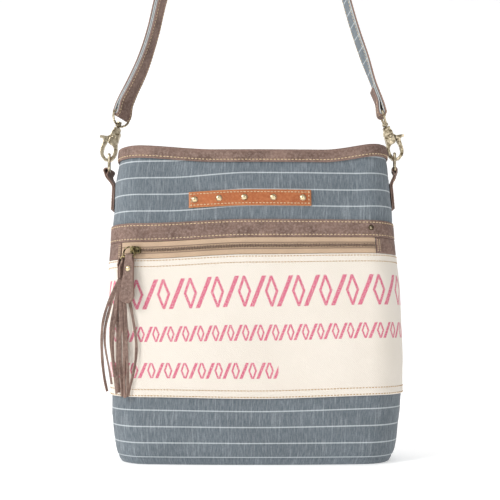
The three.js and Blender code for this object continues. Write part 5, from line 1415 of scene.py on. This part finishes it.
def pull_tab():
    eye, ply = PULL_WIRE + GAP, HIDE
    near_end = -TAB_LONG + TAB_END * (1 - np.cos(np.linspace(0.04, math.pi / 2, 12)))
    offset, up = fold_path(eye, ply, TAB_LONG - TAB_END)
    up = np.concatenate([near_end[:-1], up])
    offset = np.interp(up, np.linspace(-(TAB_LONG - TAB_END), 0, len(offset)), offset)
    front = np.stack([0 * up, -offset, up], -1)
    arc = np.radians(np.linspace(180, 0, 11))[1:-1]
    radius = eye + ply / 2
    over = np.stack([0 * arc, radius * np.cos(arc), 0.2 + radius * np.sin(arc)], -1)
    back = front[::-1] * np.array((1, -1, 1))
    path = np.concatenate([front, over, back])
    heading = unit(np.gradient(path, axis=0))
    width = np.array((1.0, 0, 0))
    outs = -unit(np.cross(heading, width))
    half = pull_half(path[:, 2])
    placed = pull_place(path)
    out_dir = pull_place(path + outs) - placed
    width_dir = pull_place(path + width) - placed
    return strip_mesh("pull_hide", placed, unit(out_dir), unit(width_dir), half, -ply / 2, ply / 2, step=1.0)


pull = dress(pull_tab(), nubuck, "pull_tab")
print("pull:", len(pull.data.polygons), "faces")

# %% The tassel's head
TASSEL_HEAD, TASSEL_LONG, TASSEL_SPREAD = 18.0, 120.0, 17.0
TASSEL_EYE = 1.6
HANG = LINK_CENTRE + DOWN_LEFT * LINK_RADIUS
FOOT = HANG - UP * TASSEL_HEAD


def head_place(points):
    """From the head's own axes, across its fold, along the eye and up, to its place."""
    return HANG + ALONG * points[..., :1] - OUT * points[..., 1:2] + UP * points[..., 2:]


def tassel_head():
    offset, up = fold_path(TASSEL_EYE, HIDE, TASSEL_HEAD, 16)
    right = np.stack([offset, 0 * up - 1, up], -1)
    radius = TASSEL_EYE + HIDE / 2
    arc = np.radians(np.linspace(0, 180, 13))[1:-1]
    over = np.stack([radius * np.cos(arc), 0 * arc - 1, 0.4 + radius * np.sin(arc)], -1)
    path = np.concatenate([right, over, right[::-1] * np.array((-1, 1, 1))])
    path[:, 1] += np.where(path[:, 2] > -5, 1.0 * smooth((path[:, 2] + 5) / 4), 0)
    half = 3.6 - 1.6 * smooth((path[:, 2] + 5) / 3)
    heading = unit(np.gradient(path, axis=0))
    width = np.array((0.0, 1.0, 0.0))
    outs = unit(np.cross(heading, width))
    outs *= np.sign((outs * (path - np.array((0, -1, -6)))).sum(-1, keepdims=True))
    placed = head_place(path)
    return strip_mesh("tassel_head", placed, unit(head_place(path + outs) - placed),
                      unit(head_place(path + width) - placed), half, -HIDE / 2, HIDE / 2, step=1.0)


print("tassel hangs from", HANG.round(1))

# %% The tassel's strips
STRIPS = (
    # out, bow: where the strip ends and how far it swings, as shares of the spread
    # drop, wide: its length and width, as shares of the longest and the usual one
    (-0.6, -0.58, 0.89, 0.85), (-0.78, -0.72, 0.95, 0.85), (-0.4, -0.2, 0.82, 0.9),
    (-0.28, -0.42, 0.97, 0.95), (-0.1, -0.2, 0.96, 0.9), (0.08, -0.08, 0.99, 1.05),
    (0.2, 0.06, 0.9, 0.85), (0.27, 0.02, 1.0, 1.0), (0.4, 0.16, 0.99, 0.9), (0.5, 0.62, 0.98, 0.85),
)
STRIP_WIDTH, STRIP_THICK, STRIP_ROOM = 3.5, 1.4, 1.2
STRIP_HALF_PLY = 0.55


def clear_of_panel(x, z, room):
    """How far forward a thing must hang to be clear of the panel."""
    level = np.clip(z, PANEL_BOTTOM, PANEL_TOP)
    s = level_sizes(level)
    share = np.clip((x - s["centre"]) / s["half_width"], -0.985, 0.985)
    across = s["centre"] + share * s["half_width"]
    return skin(around_at(across, level), level, GAP + PANEL_THICK)[0][..., 1] - room


def tassel_strip(order, out, bow, drop, wide):
    t = np.linspace(0, 1, 44)
    half = STRIP_WIDTH * wide / 2
    layer = (order % 3) * 0.9
    turn = math.radians((order * 37) % 50 - 25)
    z = FOOT[2] + 3 - (TASSEL_LONG * drop + 3) * t
    x = FOOT[0] + TASSEL_SPREAD * (out * t ** 0.8 + bow * np.sin(math.pi * t))
    x = x + 0.8 * np.sin(t * 9 + order * 2.3) * smooth(t * 2)
    room = STRIP_THICK + STRIP_ROOM + layer
    free = np.minimum(clear_of_panel(x - half, z, room), clear_of_panel(x + half, z, room))
    hung = np.minimum(free, FOOT[1] + 2 - layer)
    sway = 0.35 * (1 + np.sin(t * 13 + order)) * smooth(t * 2)
    y = FOOT[1] - 1 + (hung - FOOT[1] + 1) * smooth(t * 3) - sway
    spin = (turn + 0.5 * np.sin(t * 6 + order * 1.7)) * smooth(t * 2)
    places = np.stack([x, y, z], -1)
    widths = np.stack([np.cos(spin), np.sin(spin), 0 * t], -1)
    heading = unit(np.gradient(places, axis=0))
    outs = unit(np.cross(heading, widths))
    outs = outs * np.sign(-outs[:, 1:2])
    widths = unit(np.cross(outs, heading))
    size = half * (0.7 + 0.3 * smooth(t * 4)) * (1 - 0.12 * np.sin(t * 17 + order * 3) ** 2)
    return strip_mesh("strip", places, outs, widths, size, -STRIP_HALF_PLY, STRIP_HALF_PLY, step=0.7)


def join_meshes(name, meshes):
    """Several meshes with the same layers, as one."""
    shape = bmesh.new()
    for mesh in meshes:
        shape.from_mesh(mesh)
        bpy.data.meshes.remove(mesh)
    joined = bpy.data.meshes.new(name)
    shape.to_mesh(joined)
    shape.free()
    return joined


strips = [tassel_strip(k, *row) for k, row in enumerate(STRIPS)]
tassel = dress(join_meshes("tassel_hide", [tassel_head(), *strips]), nubuck, "tassel")
print("tassel:", len(STRIPS), "strips,", len(tassel.data.polygons), "faces")

# %% [markdown]
# ## Cast fittings
#
# The clasps, the slider and the keeper are die cast, so they have no sharp edge anywhere. Their
# CAD solids have the right shape with sharp edges. A copy is rebuilt on a fine grid of voxels
# and smoothed a little, which rounds every edge by the same small radius.

# %% Rounded copies of the CAD's metal


def cast_copy(node, name, voxel, rounds, body="bag", metal=antique_brass):
    """A copy of a CAD node with its edges softened, as a casting's are."""
    mesh = weld(frame["nodes"][node].data.copy())
    piece = bpy.data.objects.new(name, mesh)
    bpy.context.scene.collection.objects.link(piece)
    grid = piece.modifiers.new("grid", "REMESH")
    grid.mode = "VOXEL"
    grid.voxel_size = voxel * MM
    soft = piece.modifiers.new("soft", "SMOOTH")
    soft.factor = 0.5
    soft.iterations = rounds
    made = bpy.data.meshes.new_from_object(piece.evaluated_get(bpy.context.evaluated_depsgraph_get()))
    bpy.data.objects.remove(piece)
    made.name = name
    return dress(made, metal, node, body)


faces = 0
for side in ENDS:
    lever_body = "lever_" + side
    faces += len(cast_copy("clasp_body_" + side, "clasp_cast_" + side, 0.32, 5).data.polygons)
    faces += len(cast_copy("clasp_lever_" + side, "lever_cast_" + side, 0.3, 5, lever_body).data.polygons)
    faces += len(cast_copy("clasp_eye_" + side, "eye_cast_" + side, 0.3, 5).data.polygons)
    faces += len(cast_copy("clasp_pin_" + side, "pin_cast_" + side, 0.2, 4).data.polygons)
faces += len(cast_copy("zip_slider", "slider_cast", 0.2, 4, metal=black_brass).data.polygons)
faces += len(cast_copy("strap_keeper", "keeper_cast", 0.4, 4).data.polygons)
print("cast pieces:", faces, "faces")

# %% [markdown]
# ## Rivets by Geometry Nodes
#
# A rivet is a thin foot and a round head, and the seven small ones and the stud are alike. The
# tree takes a mesh of single points, each with the direction it faces in an attribute named out,
# and puts a rivet on each. Instances are made real at the end, because the exported model needs
# them so.

# %% A tree that sets rivets


def start_tree(name, inputs):
    """A Geometry Nodes tree with named number inputs, and its group input node."""
    tree = bpy.data.node_groups.new(name, "GeometryNodeTree")
    tree.interface.new_socket("Geometry", in_out="INPUT", socket_type="NodeSocketGeometry")
    for label, value in inputs.items():
        kind = "NodeSocketInt" if isinstance(value, int) else "NodeSocketFloat"
        socket = tree.interface.new_socket(label, in_out="INPUT", socket_type=kind)
        socket.default_value = value
    tree.interface.new_socket("Geometry", in_out="OUTPUT", socket_type="NodeSocketGeometry")
    return tree, add(tree, "NodeGroupInput")


def finish_tree(tree, instances, material=None):
    """The end that every tree here has: real geometry, its material, smooth faces."""
    real = add(tree, "GeometryNodeRealizeInstances", {0: instances})
    if material:
        real = add(tree, "GeometryNodeSetMaterial", {"Geometry": real.outputs[0]})
        real.inputs["Material"].default_value = material
    smoothed = add(tree, "GeometryNodeSetShadeSmooth", {0: real.outputs[0]})
    add(tree, "NodeGroupOutput", {0: smoothed.outputs[0]})


def rivet_tree(material, foot_material, head_share=0.86):
    tree, given = start_tree("set_rivets", {"Radius": 0.0032, "Height": 0.0015})
    radius, height = given.outputs["Radius"], given.outputs["Height"]
    out = add(tree, "GeometryNodeInputNamedAttribute", {"Name": "out"}, data_type="FLOAT_VECTOR")
    turn = add(tree, "FunctionNodeAlignRotationToVector", {"Vector": out.outputs[0]}, axis="Z")
    head = add(tree, "GeometryNodeMeshUVSphere", {"Segments": 24, "Rings": 12, "Radius": radius})
    squash = add(tree, "ShaderNodeMath", {0: height, 1: radius}, operation="DIVIDE")
    size = add(tree, "ShaderNodeCombineXYZ", {0: head_share, 1: head_share, 2: squash.outputs[0]})
    domed = add(tree, "GeometryNodeTransform", {"Geometry": head.outputs[0], "Scale": size.outputs[0]})
    top = add(tree, "GeometryNodeSetMaterial", {"Geometry": domed.outputs[0]})
    top.inputs["Material"].default_value = material
    thin = add(tree, "ShaderNodeMath", {0: height, 1: 0.3}, operation="MULTIPLY")
    foot = add(tree, "GeometryNodeMeshUVSphere", {"Segments": 24, "Rings": 8, "Radius": radius})
    foot_size = add(tree, "ShaderNodeMath", {0: thin.outputs[0], 1: radius}, operation="DIVIDE")
    foot_scale = add(tree, "ShaderNodeCombineXYZ", {0: 1.0, 1: 1.0, 2: foot_size.outputs[0]})
    low = add(tree, "GeometryNodeTransform", {"Geometry": foot.outputs[0], "Scale": foot_scale.outputs[0]})
    under = add(tree, "GeometryNodeSetMaterial", {"Geometry": low.outputs[0]})
    under.inputs["Material"].default_value = foot_material
    rivet = add(tree, "GeometryNodeJoinGeometry")
    tree.links.new(top.outputs[0], rivet.inputs[0])
    tree.links.new(under.outputs[0], rivet.inputs[0])
    placed = add(tree, "GeometryNodeInstanceOnPoints", {"Points": given.outputs[0],
                                                        "Instance": rivet.outputs[0],
                                                        "Rotation": turn.outputs[0]})
    finish_tree(tree, placed.outputs[0])
    return tree


def point_mesh(name, points, outs, edges=()):
    """Points in millimetres, joined by edges if given, with the direction each faces."""
    mesh = bpy.data.meshes.new(name)
    mesh.from_pydata((np.asarray(points) * MM + np.array((0, 0, BASE))).tolist(), list(edges), [])
    attribute = mesh.attributes.new("out", "FLOAT_VECTOR", "POINT")
    attribute.data.foreach_set("vector", np.asarray(outs, np.float32).ravel())
    return mesh


def grown(name, mesh, tree, values, body="bag"):
    """Runs a tree on a mesh and keeps what it makes as a plain piece."""
    carrier = bpy.data.objects.new(name, mesh)
    bpy.context.scene.collection.objects.link(carrier)
    modifier = carrier.modifiers.new("tree", "NODES")
    modifier.node_group = tree
    ids = {item.name: item.identifier for item in tree.interface.items_tree if item.in_out == "INPUT"}
    for label, value in values.items():
        modifier[ids[label]] = value
    made = bpy.data.meshes.new_from_object(carrier.evaluated_get(bpy.context.evaluated_depsgraph_get()))
    bpy.data.objects.remove(carrier)
    made.name = name
    piece = bpy.data.objects.new(name, made)
    bpy.context.scene.collection.objects.link(piece)
    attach(piece, body)
    return piece


bright_rivets = rivet_tree(bright_brass, antique_brass)
# the stud's head is narrower than its foot, and the foot is drawn in dark brass, so a dark ring shows round
# the head
dark_rivets = rivet_tree(antique_brass, dark_brass, 0.62)
print("rivet trees:", bright_rivets.name, dark_rivets.name)

# %% The rivets and the stud in place
# places of the patch's rivets, as shares of its half width
RIVET_SHARES = (-0.902, -0.504, -0.092, 0.379, 0.86)
PATCH_RIVET = {"Radius": 3.2 * MM, "Height": 1.7 * MM}
STUD = {"Radius": 2.9 * MM, "Height": 1.5 * MM}
SMALL_RIVET = {"Radius": 3.1 * MM, "Height": 1.6 * MM}
STUD_ACROSS, STUD_UP = 116.0, 9.8
across = np.array(RIVET_SHARES) * PATCH_WIDTH / 2
rivet_level = PATCH_LEVEL + across * PATCH_SLOPE
rivet_points, rivet_outs = skin(around_at(PATCH_CENTRE + across, rivet_level), rivet_level,
                                PATCH_SEAT + HIDE + 0.45)
for k, (point, out) in enumerate(zip(rivet_points, rivet_outs), 1):
    mesh = point_mesh("rivet", point[None], out[None])
    rivet = grown("patch_rivet_head_%d" % k, mesh, bright_rivets, PATCH_RIVET)
    stands_for(rivet, "patch_rivet_%d" % k)

stud_level = BAND_BOTTOM + STUD_UP
stud_point, stud_out = skin(around_at(STUD_ACROSS, stud_level), stud_level, GAP + HIDE + 0.1)
stud = grown("stud_head", point_mesh("stud", stud_point[None], stud_out[None]), dark_rivets, STUD)
stands_for(stud, "band_stud")

pull_seat = np.array((0.0, -GAP / 2 - HIDE - 0.25, -12.2))
pull_out = pull_place(pull_seat + FRONT) - pull_place(pull_seat)
head_seat = np.array((-GAP / 2 - HIDE - 0.25, -1.0, -TASSEL_HEAD * 0.62))
for name, node, place, out in (("pull_rivet_head", "pull_rivet", pull_place(pull_seat), pull_out),
                               ("tassel_rivet_head", "tassel_rivet", head_place(head_seat), -ALONG)):
    rivet = grown(name, point_mesh(name, place[None], out[None]), bright_rivets, SMALL_RIVET)
    stands_for(rivet, node)
print("rivets:", len(RIVET_SHARES) + 3)

# %% [markdown]
# ## Stitches by Geometry Nodes
#
# A lockstitch shows as short raised dashes with a small hole between them. The tree takes lines
# of points that follow the cloth, resamples them to one point for each stitch, and lays a small
# capsule of thread on each, turned along the line and facing out, with a little unevenness from
# a fixed seed.

# %% A tree that sews


def stitch_tree(material):
    tree, given = start_tree("sew", {"Pitch": 0.003, "Share": 0.8, "Thread": 0.0009, "Seed": 4})
    out = add(tree, "GeometryNodeInputNamedAttribute", {"Name": "out"}, data_type="FLOAT_VECTOR")
    curve = add(tree, "GeometryNodeMeshToCurve", {0: given.outputs[0]})
    spaced = add(tree, "GeometryNodeResampleCurve", {"Curve": curve.outputs[0],
                                                     "Length": given.outputs["Pitch"]}, mode="LENGTH")
    along = add(tree, "GeometryNodeInputTangent")
    turn = add(tree, "FunctionNodeAxesToRotation", {0: along.outputs[0], 1: out.outputs[0]},
               primary_axis="X", secondary_axis="Z")
    length = add(tree, "ShaderNodeMath", {0: given.outputs["Pitch"], 1: given.outputs["Share"]},
                 operation="MULTIPLY")
    size = add(tree, "ShaderNodeCombineXYZ", {0: length.outputs[0], 1: given.outputs["Thread"],
                                              2: given.outputs["Thread"]})
    ball = add(tree, "GeometryNodeMeshUVSphere", {"Segments": 8, "Rings": 6, "Radius": 0.5})
    dash = add(tree, "GeometryNodeTransform", {"Geometry": ball.outputs[0], "Scale": size.outputs[0]})
    uneven = add(tree, "FunctionNodeRandomValue", {"Min": (0.88, 0.9, 0.85), "Max": (1.06, 1.1, 1.15),
                                                   "Seed": given.outputs["Seed"]}, data_type="FLOAT_VECTOR")
    sewn = add(tree, "GeometryNodeInstanceOnPoints", {"Points": spaced.outputs[0],
                                                      "Instance": dash.outputs[0],
                                                      "Rotation": turn.outputs[0],
                                                      "Scale": uneven.outputs[0]})
    finish_tree(tree, sewn.outputs[0], material)
    return tree


def sew(name, rows, tree, pitch, thread, body="bag"):
    """Sews rows. Each row is an array of points and an array of the directions that they face."""
    points, outs, edges = [], [], []
    for place, out in rows:
        start = sum(len(p) for p in points)
        edges += [(start + k, start + k + 1) for k in range(len(place) - 1)]
        points.append(place)
        outs.append(np.broadcast_to(out, place.shape))
    mesh = point_mesh(name, np.concatenate(points), np.concatenate(outs), edges)
    return grown(name, mesh, tree, {"Pitch": pitch * MM, "Thread": thread * MM}, body)


def row_on_bag(start, end, level, out, slope=None):
    """A row along the bag at one height, from one place round it to another."""
    around = np.linspace(start, end, max(2, int(abs(end - start) * 60)))
    tilt = 0 if slope is None else slope(around)
    return skin(around, level + tilt, out)


tan_sewing = stitch_tree(tan_thread)
cream_sewing = stitch_tree(cream_thread)
print("sewing trees:", tan_sewing.name, cream_sewing.name)

# %% Rows on the bag
AROUND = (-BACK, BACK)
on_hide = GAP + HIDE - 0.12
on_panel = GAP + PANEL_THICK + 0.15
trim_rows = [row_on_bag(*AROUND, level, on_hide) for level in BAND_ROWS]
trim_rows.append(row_on_bag(*AROUND, BINDING_ROW, on_hide + 0.1))
trim = sew("trim_stitches", trim_rows, tan_sewing, 3.6, 1.0)
panel_places = np.linspace(*AROUND, 600)
panel_rows = []
for row in PANEL_ROWS:
    level = row + 0 * panel_places
    panel_rows.append(skin(panel_places, level, on_panel + panel_relief(cloth_run(panel_places), level)))
panel_sewn = sew("panel_stitches", panel_rows, cream_sewing, 3.2, 0.95)

side_step = 1.0 / PATCH_FLAT
on_patch = PATCH_SEAT + HIDE - 0.1
patch_rows = [row_on_bag(PATCH_FROM + 2.4 * side_step, PATCH_TO - 2.4 * side_step,
                         PATCH_LEVEL + up, on_patch, patch_tilt) for up in (-PATCH_ROW, PATCH_ROW)]
for place in (PATCH_FROM + 2.5 * side_step, PATCH_TO - 2.5 * side_step):
    level = np.linspace(PATCH_LEVEL - PATCH_ROW, PATCH_LEVEL + PATCH_ROW, 12) + patch_tilt(np.array(place))
    patch_rows.append(skin(place, level, on_patch))
patch_sewn = sew("patch_stitches", patch_rows, tan_sewing, 3.4, 0.95)
end_rows = []
for side, (inner, outer) in ZIP_ENDS.items():
    for share in (0.06, 0.12):
        place = inner + (outer - inner) * share
        level = np.linspace(PANEL_TOP + 3, BAND_BOTTOM - 3, 14)
        end_rows.append(skin(place, level, GAP + HIDE + 0.05))
ends_sewn = sew("zip_end_stitches", end_rows, tan_sewing, 2.0, 0.8)
sewn = (trim, panel_sewn, patch_sewn, ends_sewn)
print("stitches on the bag:", sum(len(piece.data.polygons) for piece in sewn), "faces")

# %% Rows on the strap and the side tabs
strap_rows = []
for reach in (-STRAP_STITCH, STRAP_STITCH):
    for side, level in ((1, STRAP_THICK / 2 - 0.05), (-1, -STRAP_THICK / 2 + 0.05)):
        spine = strap_places + strap_widths * reach + strap_outs * level
        strap_rows.append((spine[6:-6], (strap_outs * side)[6:-6]))
strap_sewn = sew("strap_stitches", strap_rows, tan_sewing, 3.4, 0.95)
tab_rows = []
for side, (outer, out) in SIDE_PLIES.items():
    face = outer[4:-1] + out * (HIDE - 0.05)
    for reach in (-TAB_STITCH, TAB_STITCH):
        tab_rows.append((face + np.array((0, reach, 0)), out))
tab_sewn = sew("tab_stitches", tab_rows, tan_sewing, 3.2, 0.9)
print("stitches on the straps:", len(strap_sewn.data.polygons) + len(tab_sewn.data.polygons), "faces")

# %% [markdown]
# ## The zip's teeth by Geometry Nodes
#
# Metal teeth are clamped on the two tapes in turn, so along the closed zip they point up, then
# down. The tree resamples the zip's line to one point for each tooth and moves every other one
# across the line.

# %% Zip teeth


def teeth_tree(material):
    tree, given = start_tree("zip_teeth", {"Pitch": 0.0016, "Shift": 0.0004, "Length": 0.0030})
    out = add(tree, "GeometryNodeInputNamedAttribute", {"Name": "out"}, data_type="FLOAT_VECTOR")
    curve = add(tree, "GeometryNodeMeshToCurve", {0: given.outputs[0]})
    spaced = add(tree, "GeometryNodeResampleCurve", {"Curve": curve.outputs[0],
                                                     "Length": given.outputs["Pitch"]}, mode="LENGTH")
    along = add(tree, "GeometryNodeInputTangent")
    turn = add(tree, "FunctionNodeAxesToRotation", {0: along.outputs[0], 1: out.outputs[0]},
               primary_axis="X", secondary_axis="Z")
    order = add(tree, "GeometryNodeInputIndex")
    odd = add(tree, "ShaderNodeMath", {0: order.outputs[0], 1: 2.0}, operation="MODULO")
    sign = add(tree, "ShaderNodeMath", {0: odd.outputs[0], 1: 0.5}, operation="SUBTRACT")
    move = add(tree, "ShaderNodeMath", {0: sign.outputs[0], 1: given.outputs["Shift"]}, operation="MULTIPLY")
    offset = add(tree, "ShaderNodeCombineXYZ", {2: move.outputs[0]})
    moved = add(tree, "GeometryNodeSetPosition", {"Geometry": spaced.outputs[0], "Offset": offset.outputs[0]})
    wide = add(tree, "ShaderNodeMath", {0: given.outputs["Pitch"], 1: 0.62}, operation="MULTIPLY")
    size = add(tree, "ShaderNodeCombineXYZ", {0: wide.outputs[0], 1: given.outputs["Length"], 2: 0.0013})
    block = add(tree, "GeometryNodeMeshUVSphere", {"Segments": 8, "Rings": 4, "Radius": 0.62})
    tooth = add(tree, "GeometryNodeTransform", {"Geometry": block.outputs[0], "Scale": size.outputs[0]})
    placed = add(tree, "GeometryNodeInstanceOnPoints", {"Points": moved.outputs[0],
                                                        "Instance": tooth.outputs[0],
                                                        "Rotation": turn.outputs[0]})
    finish_tree(tree, placed.outputs[0], material)
    return tree


teeth_from = float(around_at(SLIDER_ACROSS + SLIDER_HALF + GAP, ZIP_LEVEL))
place, out = row_on_bag(teeth_from, ZIP_ENDS["right"][0] - 0.02, ZIP_LEVEL, GAP + TAPE_THICK + 0.55)
edges = [(k, k + 1) for k in range(len(place) - 1)]
teeth = grown("zip_teeth_row", point_mesh("teeth", place, out, edges), teeth_tree(tooth_metal), {})
stands_for(teeth, "zip_teeth")
print("zip teeth:", len(teeth.data.polygons), "faces")

# %% [markdown]
# ## A pale table and soft light
#
# The picture has a white ground that fades into a white wall, and light from large sources. A
# sweep of pale card does the same here, and it isn't part of the bag. A big soft light stands
# to the upper left, a weaker one to the right, and a white sky fills the shadows. The sky is
# darker behind the camera, so that the brass has something dark to reflect.

# %% Floor, lights and sky


def sweep():
    """A pale floor that curves up into a wall far behind the bag."""
    profile = [(-3.0, 0.0), (2.2, 0.0)]
    for angle in np.radians(np.linspace(0, 90, 12)):
        profile.append((2.2 + 0.8 * math.sin(angle), 0.8 * (1 - math.cos(angle))))
    profile.append((3.0, 4.0))
    floor = BASE - 0.4 * MM
    points = [(x, y, z + floor) for y, z in profile for x in (-4.0, 4.0)]
    faces = [(2 * k, 2 * k + 1, 2 * k + 3, 2 * k + 2) for k in range(len(profile) - 1)]
    mesh = bpy.data.meshes.new("card_sweep")
    mesh.from_pydata(points, [], faces)
    mesh.shade_smooth()
    card = bpy.data.objects.new("card_sweep", mesh)
    bpy.context.scene.collection.objects.link(card)
    return card


card = sweep()
pale_card, _, card_shader = start_material("pale_card", 0.9)
card_shader.inputs["Base Color"].default_value = hex_colour("#F7F7F7")
card_shader.inputs["Emission Color"].default_value = hex_colour("#FFFFFF")
card_shader.inputs["Emission Strength"].default_value = 0.36
card.data.materials.append(pale_card)
card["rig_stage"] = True


def soft_light(name, place, target, size, power):
    data = bpy.data.lights.new(name, "AREA")
    data.shape = "DISK"
    data.size = size
    data.energy = power
    lamp = bpy.data.objects.new(name, data)
    lamp.location = place
    lamp.rotation_euler = (Vector(target) - Vector(place)).to_track_quat("-Z", "Y").to_euler()
    bpy.context.scene.collection.objects.link(lamp)


middle = (0.0, 0.0, -0.5)
soft_light("key", (-1.7, -1.15, 0.7), middle, 0.8, 32)
soft_light("fill", (0.9, -1.8, 0.1), middle, 1.2, 5)
soft_light("back", (0.3, 1.6, 1.3), middle, 1.2, 6)
world = bpy.data.worlds.new("white_sky")
world.use_nodes = True
sky = world.node_tree
heading = add(sky, "ShaderNodeTexCoord").outputs["Generated"]
side = add(sky, "ShaderNodeVectorMath", {0: heading, 1: (-0.75, 0.65, 0.15)}, operation="DOT_PRODUCT")
bright = add(sky, "ShaderNodeMapRange", {"Value": side.outputs["Value"], "From Min": -0.9, "From Max": 0.6,
                                         "To Min": 0.26, "To Max": 0.75})
background = sky.nodes["Background"]
background.inputs[0].default_value = hex_colour("#FFFFFF")
sky.links.new(bright.outputs[0], background.inputs[1])
bpy.context.scene.world = world
bpy.context.scene.view_settings.view_transform = "Standard"

# %% [markdown]
# ## The last check
#
# The dressed bag must keep the CAD's size.

# %% Sizes and finish
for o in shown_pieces():
    if "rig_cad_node" in o:
        print("CAD node still shown:", o.name)
    elif "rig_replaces" in o:
        cad = [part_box(node) for node in o["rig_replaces"]]
        low = np.min([c[0] for c in cad], 0) - np.min([v.co for v in o.data.vertices], 0)
        high = np.max([v.co for v in o.data.vertices], 0) - np.max([c[1] for c in cad], 0)
        print("%-24s stands proud by" % o.name, (low / MM).round(1), (high / MM).round(1), "mm")
